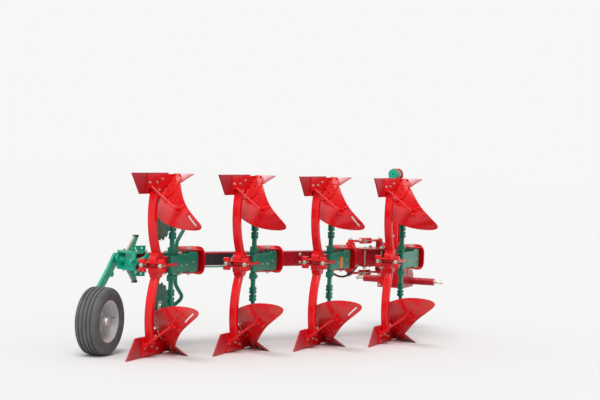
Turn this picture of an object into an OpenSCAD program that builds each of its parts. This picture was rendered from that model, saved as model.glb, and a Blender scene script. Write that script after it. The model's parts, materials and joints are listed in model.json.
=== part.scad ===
// Four-furrow reversible mounted mouldboard plough, in millimetres.
// X points in the direction of travel, Y to the left and Z up, with the floor at z = 0.
// The upper and the lower bodies are mirror images about a level plane, the middle plane.

/* [Plough] */
// Height of the middle plane above the soles of the lower shares
mid_h = 860; // [800:5:900]
// Distance between two bodies, along the beam
body_spacing = 950; // [900:10:1000]
// Angle between the beam and the direction of travel
beam_angle = 33; // [30:1:34]
// Distance from a leg to the beam's centre line, along the travel
beam_ahead = 890; // [880:5:920]
// Sideways place of the beam's centre line at a bracket, from the leg
beam_aside = 85; // [70:5:95]

/* [Beam] */
// Outer width of the square tube
beam_w = 150; // [140:5:160]
// Wall of the square tube
beam_wall = 10; // [6:1:14]
// Length of the beam behind the first bracket
beam_rear = 650; // [600:10:700]
// Length of the beam past the last bracket
beam_front = 190; // [180:5:200]
// Thickness of the plates that close the beam
beam_cap_t = 8; // [6:1:12]

/* [Brackets] */
// Height from the middle plane to the level underside of a cap
cap_z = 104; // [100:1:110]
// Thickness of the level plate of a cap
cap_t = 12; // [10:1:16]
// Height from the middle plane to the top of the dome
dome_z = 138; // [134:1:144]
// Radius of the dome
dome_r = 120; // [110:5:140]
// Reach of a cap along the beam, ahead of its middle
cap_front = 60; // [50:1:70]
// Distance of the swing pin from the beam's centre line
pin_back = 153; // [150:1:160]
// Distance of the swing pin behind the bracket's middle, along the beam
pin_along = 80; // [75:1:85]
// Radius of the cap around the swing pin
ear_r = 58; // [54:1:64]
// Diameter of the swing pin
swing_pin_d = 40; // [36:1:46]
// Diameter of the head of the swing pin
swing_head_d = 58; // [52:1:64]
// Thickness of the head of the swing pin
swing_head_t = 10; // [8:1:14]
// Sideways place of the dome's middle, from the beam's centre line
dome_y = -30; // [-40:1:-20]
// Thickness of the flange at the front end of a bracket
flange_t = 12; // [10:1:16]
// Width of the flange
flange_w = 236; // [228:2:240]
// Sideways place of the flange's middle, from the beam's centre line
flange_y = -95; // [-98:1:-92]

/* [Carrier] */
// Half height of the carrier's side plates
carrier_h = 98; // [90:1:100]
// Distance between the side plates
carrier_gap = 160; // [150:2:170]
// Half height of the side plates at their rear end
carrier_rear_h = 82; // [76:1:86]
// Thickness of the side plates
carrier_t = 12; // [10:1:16]
// Place of the raised corner's start, ahead of the leg
raised_x = 570; // [560:5:580]
// Radius of the raised corner
raised_r = 40; // [30:2:44]
// Rear face of the spring block, ahead of the leg
spring_front = 600; // [590:5:610]
// Depth of the spring block
spring_block_d = 40; // [30:2:50]
// Half height of the bar between the spring block and the barrel
carrier_bar_h = 50; // [40:2:60]
// Outer diameter of the barrel on the swing pin
barrel_d = 90; // [80:2:96]
// Rear end of the side plates, ahead of the leg
carrier_rear = 166; // [160:1:170]
// Front end of the left side plate, ahead of the leg
carrier_left_end = 668; // [650:1:670]
// Front end of the right side plate, ahead of the leg
carrier_right_end = 752; // [740:1:760]
// Rear face of the cross plate, ahead of the leg
cross_plate_x = 236; // [230:1:245]
// Thickness of the cross plate
cross_plate_t = 15; // [12:1:20]
// Diameter of the rolled rear edge of the side plates
rolled_d = 32; // [30:1:34]

/* [Leaf springs] */
// Number of leaves in a pack
leaf_count = 6; // [4:1:7]
// Thickness of a leaf
leaf_t = 10; // [8:1:12]
// Width of a leaf
leaf_w = 70; // [60:2:80]
// Difference in length between two leaves
leaf_step = 44; // [30:2:50]

/* [Legs] */
// Width of a leg
leg_w = 80; // [76:1:84]
// Depth of a leg
leg_d = 62; // [56:1:70]
// Radius of the rounded edges of a leg
leg_edge_r = 16; // [12:1:20]
// Radius of the leg's curve
leg_r = 655; // [640:5:670]
// Place of the centre of the leg's curve, ahead of the leg's root
leg_centre_x = 536; // [520:1:550]
// Place of the centre of the leg's curve, from the middle plane
leg_centre_z = 477; // [470:1:485]
// Angle of the leg's curve on the root's side
leg_angle_root = 36; // [34:0.5:38]
// Angle of the leg's curve on the tip's side
leg_angle_tip = 20; // [18:0.5:22]
// Half height of the head block between two legs
head_h = 116; // [108:1:124]
// Width that the head block has past a leg, on each side
head_side = 3; // [2:0.5:4]
// Half depth of the head block
head_d = 60; // [55:1:65]
// Diameter of the round backs of the head block
head_back_d = 76; // [70:2:80]
// Height of the round backs from the middle plane
head_back_z = 48; // [44:1:52]
// Half height of the nose that reaches into the carrier
nose_h = 72; // [65:1:80]
// Half width of the nose
nose_w = 39; // [35:1:40]
// Distance of the yoke's plates from the middle plane
yoke_z = 22; // [18:1:26]
// Thickness of the yoke's plates
yoke_t = 12; // [10:1:14]
// Half width of the yoke
yoke_w = 126; // [120:1:135]
// Rear edge of the yoke, behind the leg
yoke_rear = 124; // [115:1:130]
// Depth of the lugs at the ends of the yoke
lug_d = 44; // [36:2:50]
// Half height of the lugs at the ends of the yoke
lug_h = 60; // [52:1:66]
// Front end of the draw strips, ahead of the leg
strip_front = 250; // [240:1:260]
// Half height of the draw strips
strip_h = 13; // [10:1:16]
// Thickness of the draw strips
strip_t = 8; // [6:1:10]

/* [Bodies] */
// Reach of the share's point ahead of the leg
share_reach = 550; // [540:5:560]
// Slope of the ploughing surface at the sole, in length per height
surface_slope = 1.948; // [1.9:0.01:2]
// How far the curved shin is brought ahead at the tail's height
surface_lift = 384.75; // [370:0.25:400]
// Angle of the share's edge to the travel
edge_angle = 46; // [44:1:48]
// Added angle of the surface at the height of the tail
tail_turn = 13.6; // [12:0.1:15]
// Height of the tail's tip above the sole
tail_h = 450; // [430:5:460]
// Thickness of the mouldboard
board_t = 8; // [7:0.5:10]
// Thickness of the share
share_t = 11; // [9:0.5:13]
// Height of the share's upper edge above the sole
share_h = 92; // [86:1:98]
// Gap between the share and the mouldboard
share_gap = 2; // [1:0.5:4]
// Thickness of the frog's plates
frog_t = 12; // [10:1:14]
// Thickness of the landside
land_t = 14; // [12:1:16]
// Sideways place of the share's and mouldboard's left edge, from the leg
land_face = 60; // [58:0.5:64]
// Reach of the landside behind the leg
heel_reach = 460; // [440:5:480]
// Height of the landside
land_h = 196; // [180:2:210]
// Length of the landside's slanted heel
land_slant = 175; // [160:5:190]
// Place of the landside's nose ahead of the leg
land_nose = 330; // [320:5:340]
// Height at which the landside's nose starts to slant
land_nose_h = 90; // [85:1:95]
// Distance of the frog's side plate behind the edge of the share
frog_back = 60; // [56:1:66]
// Gap between the frog and the share or the mouldboard
frog_seat = 0.8; // [0.7:0.1:0.9]
// Diameter of the stay rod
stay_d = 20; // [16:1:24]
// Rear end of the stay rod, ahead of the leg's root
stay_x = -142; // [-146:1:-140]
// Place of the stay rod's bracket on the mouldboard, from the landside
stay_t = 400; // [380:5:420]
// Place of the stay rod's bracket on the mouldboard, above the sole
stay_h = 330; // [320:5:340]

/* [Skimmers] */
// Size of a skimmer against the main body
skimmer_size = 0.4; // [0.36:0.01:0.44]
// Height of the skimmer's sole above the sole of the share
skimmer_rise = 205; // [190:5:220]
// Place of the skimmer ahead of the main body
skimmer_ahead = 250; // [240:5:270]
// Place of the stalk ahead of the leg
stalk_x = 204; // [202:1:206]
// Width of the stalk across the travel
stalk_w = 38; // [34:1:40]
// Depth of the stalk along the travel
stalk_d = 40; // [36:1:44]
// Height of the straight stalk above the middle plane
stalk_h = 300; // [280:5:320]
// How far the stalk's foot reaches beyond the straight part
stalk_foot = 292; // [285:1:298]
// Half width of the clamps on the stalk, along the travel
clamp_half = 33; // [28:1:34]
// Height of the lower end of the skimmer's clamp above the middle plane
clamp_low = 236; // [228:2:244]
// Height of the upper end of the skimmer's clamp above the middle plane
clamp_high = 378; // [360:2:390]
// Half height of the narrow plate behind the stalk
stalk_plate_h = 165; // [150:5:175]

/* [Disc coulters] */
// Diameter of a disc coulter
disc_d = 460; // [440:10:500]
// Thickness of a disc coulter
disc_t = 6; // [5:0.5:8]
// Number of notches in the rim
disc_notches = 16; // [12:1:20]
// Place of the disc ahead of the leg
disc_x = 450; // [430:5:460]
// Place of the disc to the left of the leg
disc_y = 165; // [155:5:175]
// Place of the disc above the middle plane
disc_z = 430; // [420:5:440]
// Diameter of the bent arm
arm_d = 36; // [32:1:40]
// Place of the arm's foot ahead of the leg
arm_x = 350; // [345:5:360]
// Sideways place of the arm's foot, from the leg
arm_y = -40; // [-45:5:-35]
// Place of the arm's bend ahead of the leg
arm_bend_x = 540; // [535:5:550]
// Height at which the coulter arm starts to lean ahead
arm_low_z = 200; // [190:5:210]
// Height at which the coulter arm is ahead
arm_high_z = 340; // [330:5:350]
// Place of the arm's outer bend to the side
arm_out_y = 60; // [55:1:65]
// Thickness of the arm's foot plate
arm_foot_t = 12; // [10:1:14]
// Diameter of the axle
disc_axle_d = 30; // [26:1:32]
// Outer diameter of the hub
disc_hub_d = 76; // [70:2:84]
// Length of the hub
disc_hub_len = 60; // [50:2:64]

/* [Depth wheel] */
// Diameter of the tyre
tyre_d = 640; // [620:10:660]
// Width of the tyre
tyre_w = 240; // [220:5:250]
// Diameter of the rim under the tyre
rim_d = 400; // [380:5:410]
// Place of the tyre's middle to the left of the rear leg
wheel_y = 480; // [470:5:490]
// Place of the arm's pivot ahead of the rear leg
wheel_pivot_x = 460; // [450:5:470]
// Length of the wheel arm
wheel_arm_len = 832; // [820:2:840]
// Thickness of the wheel arm
wheel_arm_t = 26; // [22:1:30]
// Gap between the tyre and the wheel arm
wheel_arm_gap = 44; // [40:1:50]
// Outer diameter of the pivot tube
pivot_tube_d = 84; // [76:2:90]
// Right end of the pivot tube, to the left of the rear leg
pivot_tube_y = 498; // [495:1:502]
// Thickness of the level plates of the wheel bracket
bracket_t = 16; // [12:1:18]
// Sideways place of the stops, to the left of the rear leg
stop_y = 505; // [500:1:515]
// Thickness of the stops
stop_t = 22; // [18:1:26]
// Height of the stops' tips from the middle plane
stop_h = 232; // [222:2:238]
// How far ahead of the pivot the wheel stops reach
stop_reach = 178; // [170:1:186]
// Length of the stops' caps
stop_cap = 56; // [50:1:60]
// Diameter of the strut beside the beam
strut_d = 58; // [50:2:60]
// Diameter of the pivot pin
pivot_pin_d = 45; // [40:1:50]
// Diameter of the wheel's axle
wheel_axle_d = 40; // [36:1:44]
// Diameter of the wheel's hub
wheel_hub_d = 110; // [100:2:120]

/* [Beam head] */
// How far behind the crossing of beam and turnover axis the clamp starts, along the beam
clamp_back = 236; // [226:2:246]
// Length of the clamp plates
clamp_len = 300; // [280:10:310]
// Thickness of the clamp plates
clamp_t = 20; // [16:1:24]
// Place of the box's open end, from the crossing of beam and turnover axis
tube_start = 0.5; // [-10:0.5:10]
// Half width of the shaft tube
tube_w = 80; // [76:1:84]
// Half height of the shaft tube
tube_h = 95; // [90:1:95]
// Wall of the shaft tube
tube_wall = 14; // [10:1:16]
// Height of the adjusting links from the middle plane
link_z = 172; // [165:1:180]
// How far behind the clamp the links' rear eyes are, along the beam
link_back = 100; // [98:1:110]
// Place of the links' front eyes ahead of the crossing
link_reach = 180.5; // [170:0.5:190]
// Diameter of the links' eyes
link_eye_d = 60; // [54:2:64]
// Height of the links' eyes
link_eye_h = 30; // [28:1:34]
// Diameter of the links' threaded rod
link_rod_d = 26; // [22:1:26]
// Place of the turnbuckle on the link, from the rear eye
buckle_start = 170; // [150:10:200]
// Length of the turnbuckle
buckle_len = 160; // [140:10:200]
// Height of the turnbuckle
buckle_h = 64; // [60:2:68]
// Width of the turnbuckle
buckle_w = 48; // [44:2:52]
// Length of the turnbuckle's closed ends
buckle_end = 22; // [18:1:26]
// Height of the turnbuckle's opening
buckle_slot = 36; // [32:1:40]
// Thickness of the links' foot on the beam
link_foot_t = 12; // [10:1:14]
// Length of the links' foot behind the eye
link_foot_len = 80; // [70:5:80]
// Half width of the links' foot
link_foot_half = 60; // [50:2:70]
// Diameter of the hydraulic hose
hose_d = 22; // [18:1:26]
// Sag of the hose
hose_sag = 75; // [72:1:85]
// How far behind the third bracket the hose starts
hose_back = 100; // [90:2:110]
// Gap between the hose's front end and the clamp
hose_gap = 42; // [38:1:46]
// Sideways place of the hose, from the beam's centre line
hose_aside = -40; // [-42:1:-30]
// How much further to the side the hose's front end is
hose_spread = 16; // [14:1:20]

/* [Headstock] */
// How far past the middle between the last two brackets the beam crosses the turnover axis
turn_shift = 21; // [15:1:30]
// Place of the headstock's rear plate ahead of the crossing of beam and turnover axis
head_ahead = 630.5; // [620:0.5:650]
// Length of the headstock along the travel
head_len = 150; // [145:1:156]
// Thickness of the headstock's front and rear plates
head_plate_t = 15; // [12:1:18]
// Half width of the headstock
head_half_w = 150; // [145:1:160]
// Thickness of the cheeks
cheek_t = 14; // [12:1:16]
// Height of the box above the turnover axis
box_top = 70; // [60:5:80]
// Depth of the box below the turnover axis
box_bottom = 375; // [370:5:380]
// Height of the cylinder's pin above the turnover axis
ram_top = 890; // [870:5:900]
// Height of the mast's foot above the turnover axis
mast_foot = 140; // [130:5:150]
// Half width of the mast
mast_half_w = 62; // [56:1:66]
// Outer diameter of the turnover bearing
bearing_d = 134; // [126:2:150]
// Length of the turnover bearing behind the headstock
bearing_len = 95; // [80:5:120]
// Diameter of the turnover shaft
shaft_d = 90; // [80:2:100]
// Height of the cross shaft below the turnover axis
link_drop = 310; // [300:5:315]
// Place of the cross shaft ahead of the headstock's rear face
link_ahead = 330; // [320:5:340]
// Diameter of the cross shaft
cross_d = 80; // [70:2:90]
// Half the distance between the shoulders of the lower link pins
link_half = 412.5; // [412.5]
// Diameter of the lower link pins
link_pin_d = 28; // [28]
// Length of the lower link pins
link_pin_len = 95; // [90:1:105]
// Height of the top link hole above the lower link pins
mast_height = 610; // [610]
// Diameter of the top link hole
top_hole_d = 25.7; // [25.7]
// Gap between the lugs of the top link
top_gap = 60; // [56:1:66]
// Thickness of the lugs of the top link
lug_t = 20; // [16:1:22]

/* [Turnover cylinder] */
// Radius of the crank
crank_r = 95; // [90:1:98]
// Thickness of the crank
crank_t = 18; // [15:1:20]
// Gap between the headstock's rear plate and the crank
crank_gap = 15; // [12:1:16]
// Diameter of the crank's disc around the shaft
crank_disc_d = 140; // [130:2:150]
// Diameter of the crank's eye
crank_eye_d = 64; // [60:1:66]
// Diameter of the crank's pin
crank_pin_d = 30; // [26:1:32]
// Outer diameter of the barrel
ram_d = 76; // [70:2:80]
// Length of the barrel from its upper pin
ram_len = 590; // [580:5:600]
// Diameter of the rod
rod_d = 40; // [36:1:42]
// Diameter of the rod's eye
rod_eye_d = 52; // [48:1:53]
// Width of the rod's eye
rod_eye_w = 28; // [24:1:30]
// Diameter of the round boss at the cylinder's top
boss_d = 112; // [104:2:116]

/* [Hidden] */
$fn = 48;
// Clearance of pins in their bores, on the radius
pin_gap = 0.05;
// Small distance by which cutting shapes pass through
cut = 1;
cross_q = 2.5 * body_spacing + turn_shift;
turn_y = beam_aside - cross_q * sin(beam_angle);
cross_x = beam_ahead + cross_q * cos(beam_angle);
head_x = cross_x + head_ahead;
tube_x = cross_x + tube_start;
link_front_x = cross_x + link_reach;
clamp_q = cross_q - clamp_back;
link_q = clamp_q - link_back;
hose_front_q = clamp_q - hose_gap;
hose_rear_q = 2 * body_spacing - hose_back;
unit_step_x = body_spacing * cos(beam_angle);
unit_step_y = -body_spacing * sin(beam_angle);
pin_x = beam_ahead - pin_along * cos(beam_angle) - pin_back * sin(beam_angle);
pin_y = beam_aside + pin_along * sin(beam_angle) - pin_back * cos(beam_angle);
last_bracket = 3 * body_spacing;
carrier_outer = carrier_gap / 2 + carrier_t;
leg_end_z = leg_centre_z + (leg_r + leg_d / 2) * sin(leg_angle_tip) + 2;
stay_z = leg_end_z + 28;
wheel_arm_y = wheel_y + tyre_w / 2 + wheel_arm_gap;
wheel_drop = mid_h - tyre_d / 2;
wheel_down = asin(wheel_drop / wheel_arm_len);
wheel_x = wheel_pivot_x - wheel_arm_len * cos(wheel_down);
ram_x = head_x + head_len / 2;
shaft_start = head_x - 200;
link_front = 70;
link_post = link_eye_d / 2 + 4;
link_seat_z = link_z - link_eye_h / 2;
// Place of the rear leg in the part's frame, so that the origin is the middle of the floor plan
rear_edge = wheel_x - tyre_d / 2;
front_edge = head_x + link_ahead + link_front;
left_edge = wheel_arm_y + wheel_arm_t + 14;
right_edge = 3 * unit_step_y + land_face - 742 * sin(edge_angle + tail_turn * 1.02);
origin_x = -(rear_edge + front_edge) / 2;
origin_y = -(left_edge + right_edge) / 2;
ram_tilt = atan(crank_r / ram_top);
ram_pin_len = sqrt(ram_top * ram_top + crank_r * crank_r);
crank_x = head_x + head_plate_t + crank_gap;

// Places the plough's own axes, which start at the rear leg in the middle plane
module plough_axes() {
    translate([origin_x, origin_y, mid_h]) children();
}

// Places shapes at unit i, counted from the rear, with the origin at the leg's root
module at_unit(i) {
    plough_axes() translate([(i - 1) * unit_step_x, (i - 1) * unit_step_y, 0]) children();
}

// Places shapes on the beam, q forward of the first bracket, with X along the beam
module on_beam(q) {
    plough_axes() translate([beam_ahead, beam_aside, 0]) rotate([0, 0, -beam_angle])
        translate([q, 0, 0]) children();
}

// Places shapes on the turnover axis
module on_turnover() {
    plough_axes() translate([0, turn_y, 0]) children();
}

// Draws a shape and its mirror image below the middle plane
module both_sides() {
    children();
    mirror([0, 0, 1]) children();
}

// A box given by its two corners
module block(low, high) {
    translate(low) cube([high[0] - low[0], high[1] - low[1], high[2] - low[2]]);
}

// A rectangle with round corners, centred
module round_rect(w, h, r, steps = 6) {
    polygon([
        for (corner = [0 : 3], j = [0 : steps])
            let (a = 90 * (corner + j / steps),
                 sx = corner == 0 || corner == 3 ? 1 : -1,
                 sy = corner < 2 ? 1 : -1)
            [sx * (w / 2 - r) + r * cos(a), sy * (h / 2 - r) + r * sin(a)]
    ]);
}

// A plate that lies in the XZ plane, from y to y + t
module side_plate(y, t) {
    translate([0, y + t, 0]) rotate([90, 0, 0]) linear_extrude(t) children();
}

// A round bar along Y from y0 to y1
module bar_y(d, x, z, y0, y1) {
    translate([x, y1, z]) rotate([90, 0, 0]) cylinder(d = d, h = y1 - y0);
}

// A round bar along X from x0 to x1
module bar_x(d, y, z, x0, x1) {
    translate([x0, y, z]) rotate([0, 90, 0]) cylinder(d = d, h = x1 - x0);
}

// A round bar between two points
module rod_between(a, b, d) {
    v = b - a;
    len = norm(v);
    translate(a) rotate([0, acos(v[2] / len), atan2(v[1], v[0])]) cylinder(d = d, h = len);
}

// A round bar bent along a path, with flat ends
function unit_vector(v) = v / norm(v);
function path_way(p, k) = unit_vector(p[min(k + 1, len(p) - 1)] - p[max(k - 1, 0)]);
function side_way(way, last) = unit_vector(last - (last * way) * way);
function side_ways(p, start) = [
    for (k = 0, s = side_way(path_way(p, 0), start); k < len(p);
         k = k + 1, s = side_way(path_way(p, min(k, len(p) - 1)), s)) s
];
module bent_bar(p, d, start, sides = 12) {
    s = side_ways(p, start);
    n = len(p);
    points = [
        for (k = [0 : n - 1], j = [0 : sides - 1])
            let (a = 360 * j / sides)
            p[k] + d / 2 * (cos(a) * s[k] + sin(a) * cross(path_way(p, k), s[k]))
    ];
    walls = [
        for (k = [0 : n - 2], j = [0 : sides - 1], f = [0, 1])
            let (a = k * sides + j, b = k * sides + (j + 1) % sides)
            f == 0 ? [a, b + sides, b] : [a, a + sides, b + sides]
    ];
    first = [for (j = [0 : sides - 1]) j];
    last = [for (j = [sides - 1 : -1 : 0]) (n - 1) * sides + j];
    polyhedron(points, concat(walls, [first, last]));
}
// Points of a path whose corners are rounded by curves of three points
function rounded_path(p, r) = [
    p[0],
    for (k = [1 : len(p) - 2])
        let (into = unit_vector(p[k] - p[k - 1]), out = unit_vector(p[k + 1] - p[k]),
             a = p[k] - r * into, b = p[k] + r * out)
        for (t = [0, 0.25, 0.5, 0.75, 1])
            (1 - t) * (1 - t) * a + 2 * t * (1 - t) * p[k] + t * t * b,
    p[len(p) - 1]
];

// The ploughing surface: h is the height above the sole, t the distance from the landside
function shin_x(h) = share_reach - surface_slope * h + surface_lift * pow(h / tail_h, 2);
function line_angle(h) = edge_angle + tail_turn * pow(max(h, 0) / tail_h, 1.6);
function blade_point(t, h) = [
    shin_x(h) - t * cos(line_angle(h)),
    land_face - t * sin(line_angle(h)),
    mid_h - h
];
function blade_normal(t, h) =
    let (across = blade_point(t + 1, h) - blade_point(t - 1, h),
         up = blade_point(t, h + 1) - blade_point(t, h - 1),
         n = cross(across, up))
    (n[0] > 0 ? -1 : 1) * n / norm(n);
function behind(t, h, d) =
    let (p = blade_point(t, h) + d * blade_normal(t, h)) [p[0], p[1], min(p[2], mid_h)];

// A curved plate on the ploughing surface. The outline has rows of
// [distance from the landside, lowest height, highest height], and rows is the count of strips.
module curved_plate(outline, rows, near, far) {
    m = len(outline);
    k = rows + 1;
    function height(i, j) = outline[i][1] + (outline[i][2] - outline[i][1]) * j / rows;
    points = [
        for (d = [near, far], i = [0 : m - 1], j = [0 : rows])
            behind(outline[i][0], height(i, j), d)
    ];
    far0 = m * k;
    function id(i, j) = i * k + j;
    near_faces = [
        for (i = [0 : m - 2], j = [0 : rows - 1], f = [0, 1])
            f == 0 ? [id(i, j), id(i, j + 1), id(i + 1, j + 1)]
                   : [id(i, j), id(i + 1, j + 1), id(i + 1, j)]
    ];
    far_faces = [for (f = near_faces) [far0 + f[0], far0 + f[2], far0 + f[1]]];
    rim = concat(
        [for (i = [0 : m - 1]) id(i, 0)],
        [for (j = [1 : rows]) id(m - 1, j)],
        [for (i = [m - 2 : -1 : 0]) id(i, rows)],
        [for (j = [rows - 1 : -1 : 1]) id(0, j)]
    );
    r = len(rim);
    rim_faces = [
        for (e = [0 : r - 1], f = [0, 1])
            let (a = rim[e], b = rim[(e + 1) % r])
            f == 0 ? [a, b, far0 + b] : [a, far0 + b, far0 + a]
    ];
    polyhedron(points, concat(near_faces, far_faces, rim_faces));
}

// Columns: distance from the landside, lower edge, upper edge
board_low = share_h + share_gap;
board_outline = [
    [2, board_low, 385],
    [60, board_low, 425],
    [150, board_low, 457],
    [250, board_low, 483],
    [350, 148, 499],
    [450, 218, 506],
    [550, 294, 507],
    [640, 356, 502],
    [700, 404, 491],
    [728, 430, 478],
    [740, 448, 465]
];
share_outline = [
    [2, 0, share_h],
    [130, 0, share_h],
    [250, 0, share_h],
    [340, 0, 50],
    [425, 0, 8]
];
skimmer_outline = [
    [2, 0, 385],
    [150, 0, 457],
    [300, 0, 492],
    [360, 60, 500],
    [450, 218, 506],
    [560, 300, 507],
    [660, 370, 498],
    [725, 430, 476]
];
frog_low_outline = [[24, 24, share_h], [120, 24, share_h], [200, 40, share_h], [245, 60, share_h]];
frog_high_outline = [[24, board_low, 250], [120, board_low, 250], [200, board_low, 215],
                     [245, board_low, 180]];

module main_beam() {
    inner = beam_w - 2 * beam_wall;
    beam_len = beam_rear + last_bracket + beam_front;
    color("firebrick") on_beam(-beam_rear) {
        difference() {
            translate([0, -beam_w / 2, -beam_w / 2]) cube([beam_len, beam_w, beam_w]);
            translate([beam_cap_t, -inner / 2, -inner / 2])
                cube([beam_len - 2 * beam_cap_t, inner, inner]);
        }
    }
}

// Level outline of a cap, with X along the beam and the round ear at the swing pin
module cap_outline() {
    translate([-pin_along, -pin_back]) circle(r = ear_r);
    translate([-pin_along - ear_r, -pin_back]) square([ear_r + pin_along + cap_front, pin_back + 40]);
    translate([-pin_along, -pin_back - ear_r]) square([pin_along + 40, ear_r + pin_back]);
    translate([-pin_along - 20, 0]) square([pin_along + 20 + cap_front, beam_w / 2 + 20]);
}

module bracket_cap() {
    dome_centre = dome_z - dome_r;
    cap_top = cap_z + cap_t;
    difference() {
        union() {
            translate([0, 0, cap_z]) linear_extrude(cap_t) cap_outline();
            intersection() {
                bar_x(2 * dome_r, dome_y, dome_centre, -pin_along - ear_r + 8, cap_front);
                block([-400, -400, cap_top - cut], [400, 400, 400]);
            }
            block([-70, -beam_w / 2, beam_w / 2], [cap_front, beam_w / 2, cap_z + cut]);
        }
        translate([-pin_along, -pin_back, 0]) cylinder(d = swing_pin_d + 2 * pin_gap, h = 300);
        translate([-pin_along, -pin_back, cap_top]) cylinder(d = swing_head_d + 6, h = 100);
    }
}

module beam_brackets() {
    color("crimson") for (i = [0 : 3]) on_beam(i * body_spacing) {
        both_sides() bracket_cap();
        difference() {
            translate([cap_front, flange_y, 0]) rotate([90, 0, 90])
                linear_extrude(flange_t) round_rect(flange_w, 2 * dome_z, 90, 9);
            block([0, -beam_w / 2, -beam_w / 2], [400, beam_w / 2, beam_w / 2]);
        }
    }
}

module swing_pins() {
    top = cap_z + cap_t;
    color("silver") for (i = [0 : 3]) on_beam(i * body_spacing) translate([-pin_along, -pin_back, 0]) {
        translate([0, 0, -top]) cylinder(d = swing_pin_d, h = 2 * top);
        both_sides() translate([0, 0, top]) cylinder(d = swing_head_d, h = swing_head_t);
    }
}

// Outline of a carrier's side plate, whose front corners are raised
module carrier_outline(front) {
    rise = carrier_h - carrier_rear_h;
    corner = [for (a = [90 : -15 : 0]) [front - raised_r + raised_r * cos(a),
                                        carrier_h - raised_r + raised_r * sin(a)]];
    upper = concat([[carrier_rear, carrier_rear_h], [raised_x, carrier_rear_h],
                    [raised_x + 1.4 * rise, carrier_h - 2], [raised_x + 2.4 * rise, carrier_h]], corner);
    count = len(upper);
    polygon(concat(upper, [for (k = [1 : count]) [upper[count - k][0], -upper[count - k][1]]]));
}

module carrier(i) {
    half = carrier_gap / 2;
    block_front = spring_front + spring_block_d;
    inner_h = carrier_rear_h - 6;
    color("seagreen") at_unit(i) difference() {
        union() {
            side_plate(-carrier_outer, carrier_t) carrier_outline(carrier_right_end);
            side_plate(half, carrier_t) carrier_outline(carrier_left_end);
            for (side = [-1, 1])
                translate([carrier_rear, side * (carrier_outer - rolled_d / 2), -carrier_rear_h])
                    cylinder(d = rolled_d, h = 2 * carrier_rear_h);
            block([cross_plate_x, -half - cut, -inner_h],
                  [cross_plate_x + cross_plate_t, half + cut, inner_h]);
            block([spring_front, -half - cut, -inner_h], [block_front, half + cut, inner_h]);
            block([block_front - cut, -half - cut, -carrier_bar_h],
                  [pin_x, barrel_d / 2 - 15, carrier_bar_h]);
            translate([pin_x, pin_y, -carrier_h]) cylinder(d = barrel_d, h = 2 * carrier_h);
        }
        translate([pin_x, pin_y, -carrier_h - cut])
            cylinder(d = swing_pin_d + 2 * pin_gap, h = 2 * carrier_h + 2 * cut);
    }
}

// The leaves lie one above the other between the cross plate and the front block
module springs(i) {
    start = cross_plate_x + cross_plate_t;
    pack = leaf_count * leaf_t;
    color("dimgray") at_unit(i) for (k = [0 : leaf_count - 1])
        block([start + k * leaf_step, -leaf_w / 2, -pack / 2 + k * leaf_t],
              [spring_front, leaf_w / 2, -pack / 2 + (k + 1) * leaf_t]);
}

// One curved leg above the middle plane
module leg() {
    translate([leg_centre_x, 0, leg_centre_z]) rotate([90, 0, 0])
        rotate([0, 0, 180 - leg_angle_tip])
            rotate_extrude(angle = leg_angle_root + leg_angle_tip, $fn = 96)
                translate([leg_r, 0]) round_rect(leg_d, leg_w, leg_edge_r, 4);
}

module legs(i) {
    color("red") at_unit(i) {
        both_sides() leg();
        side_plate(-leg_w / 2 - head_side, leg_w + 2 * head_side)
            polygon([[-head_d + 12, -head_h], [head_d - 24, -head_h], [head_d + 8, -nose_h],
                     [head_d + 8, nose_h], [head_d - 24, head_h], [-head_d + 12, head_h],
                     [-head_d, nose_h], [-head_d, -nose_h]]);
        both_sides() bar_y(head_back_d, -head_d, head_back_z, -leg_w / 2 + 2, leg_w / 2 - 2);
        block([0, -nose_w, -nose_h], [cross_plate_x, nose_w, nose_h]);
        both_sides() difference() {
            block([-yoke_rear, -yoke_w, yoke_z], [-head_d + 20, yoke_w, yoke_z + yoke_t]);
            block([-yoke_rear - cut, -46, yoke_z + cut], [-yoke_rear + 20, 46, yoke_z + 50]);
        }
        for (side = [-1, 1]) {
            y = side > 0 ? carrier_outer : -carrier_outer - strip_t;
            block([-yoke_rear + 20, y, -strip_h], [strip_front, y + strip_t, strip_h]);
            block([-yoke_rear + 20, y, -yoke_z - cut], [-head_d + 20, y + strip_t, yoke_z + cut]);
            lug_y = side > 0 ? yoke_w - 60 : -yoke_w;
            side_plate(lug_y, 60) difference() {
                translate([-yoke_rear + lug_d / 2, 0]) round_rect(lug_d, 2 * lug_h, 14);
                translate([-yoke_rear - cut, -yoke_z]) square([lug_d + 2 * cut, 2 * yoke_z]);
            }
        }
    }
}

module frog() {
    plate_y = leg_w / 2;
    side_plate(plate_y, frog_t)
        polygon(concat(
            [[-150, mid_h - 12], [-150, mid_h - land_h], [10, mid_h - land_h]],
            [for (h = [250 : -34 : 12]) [shin_x(h) - frog_back, mid_h - h]]));
    block([-125, -leg_w / 2, leg_end_z], [-45, plate_y + cut, leg_end_z + 15]);
    curved_plate(frog_low_outline, 2, share_t + frog_seat, share_t + frog_seat + frog_t);
    curved_plate(frog_high_outline, 4, board_t + frog_seat, board_t + frog_seat + frog_t);
    block([stay_x - 16, plate_y - 40, stay_z - 18], [stay_x + 16, plate_y + cut, stay_z + 18]);
    rod_between([stay_x, plate_y - 20, stay_z], behind(stay_t, stay_h, 34), stay_d);
    rod_between(behind(stay_t, stay_h, board_t + frog_seat), behind(stay_t, stay_h, 46), 44);
}

module frogs(i) {
    color("crimson") at_unit(i) both_sides() frog();
}

module landsides(i) {
    color("darkred") at_unit(i) both_sides()
        side_plate(leg_w / 2 + frog_t, land_t)
            polygon([[-heel_reach, mid_h], [-heel_reach + land_slant, mid_h - land_h],
                     [20, mid_h - land_h], [land_nose - 130, mid_h - land_nose_h], [land_nose, mid_h]]);
}

module shares(i) {
    color("indianred") at_unit(i) both_sides() curved_plate(share_outline, 3, 0, share_t);
}

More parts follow.
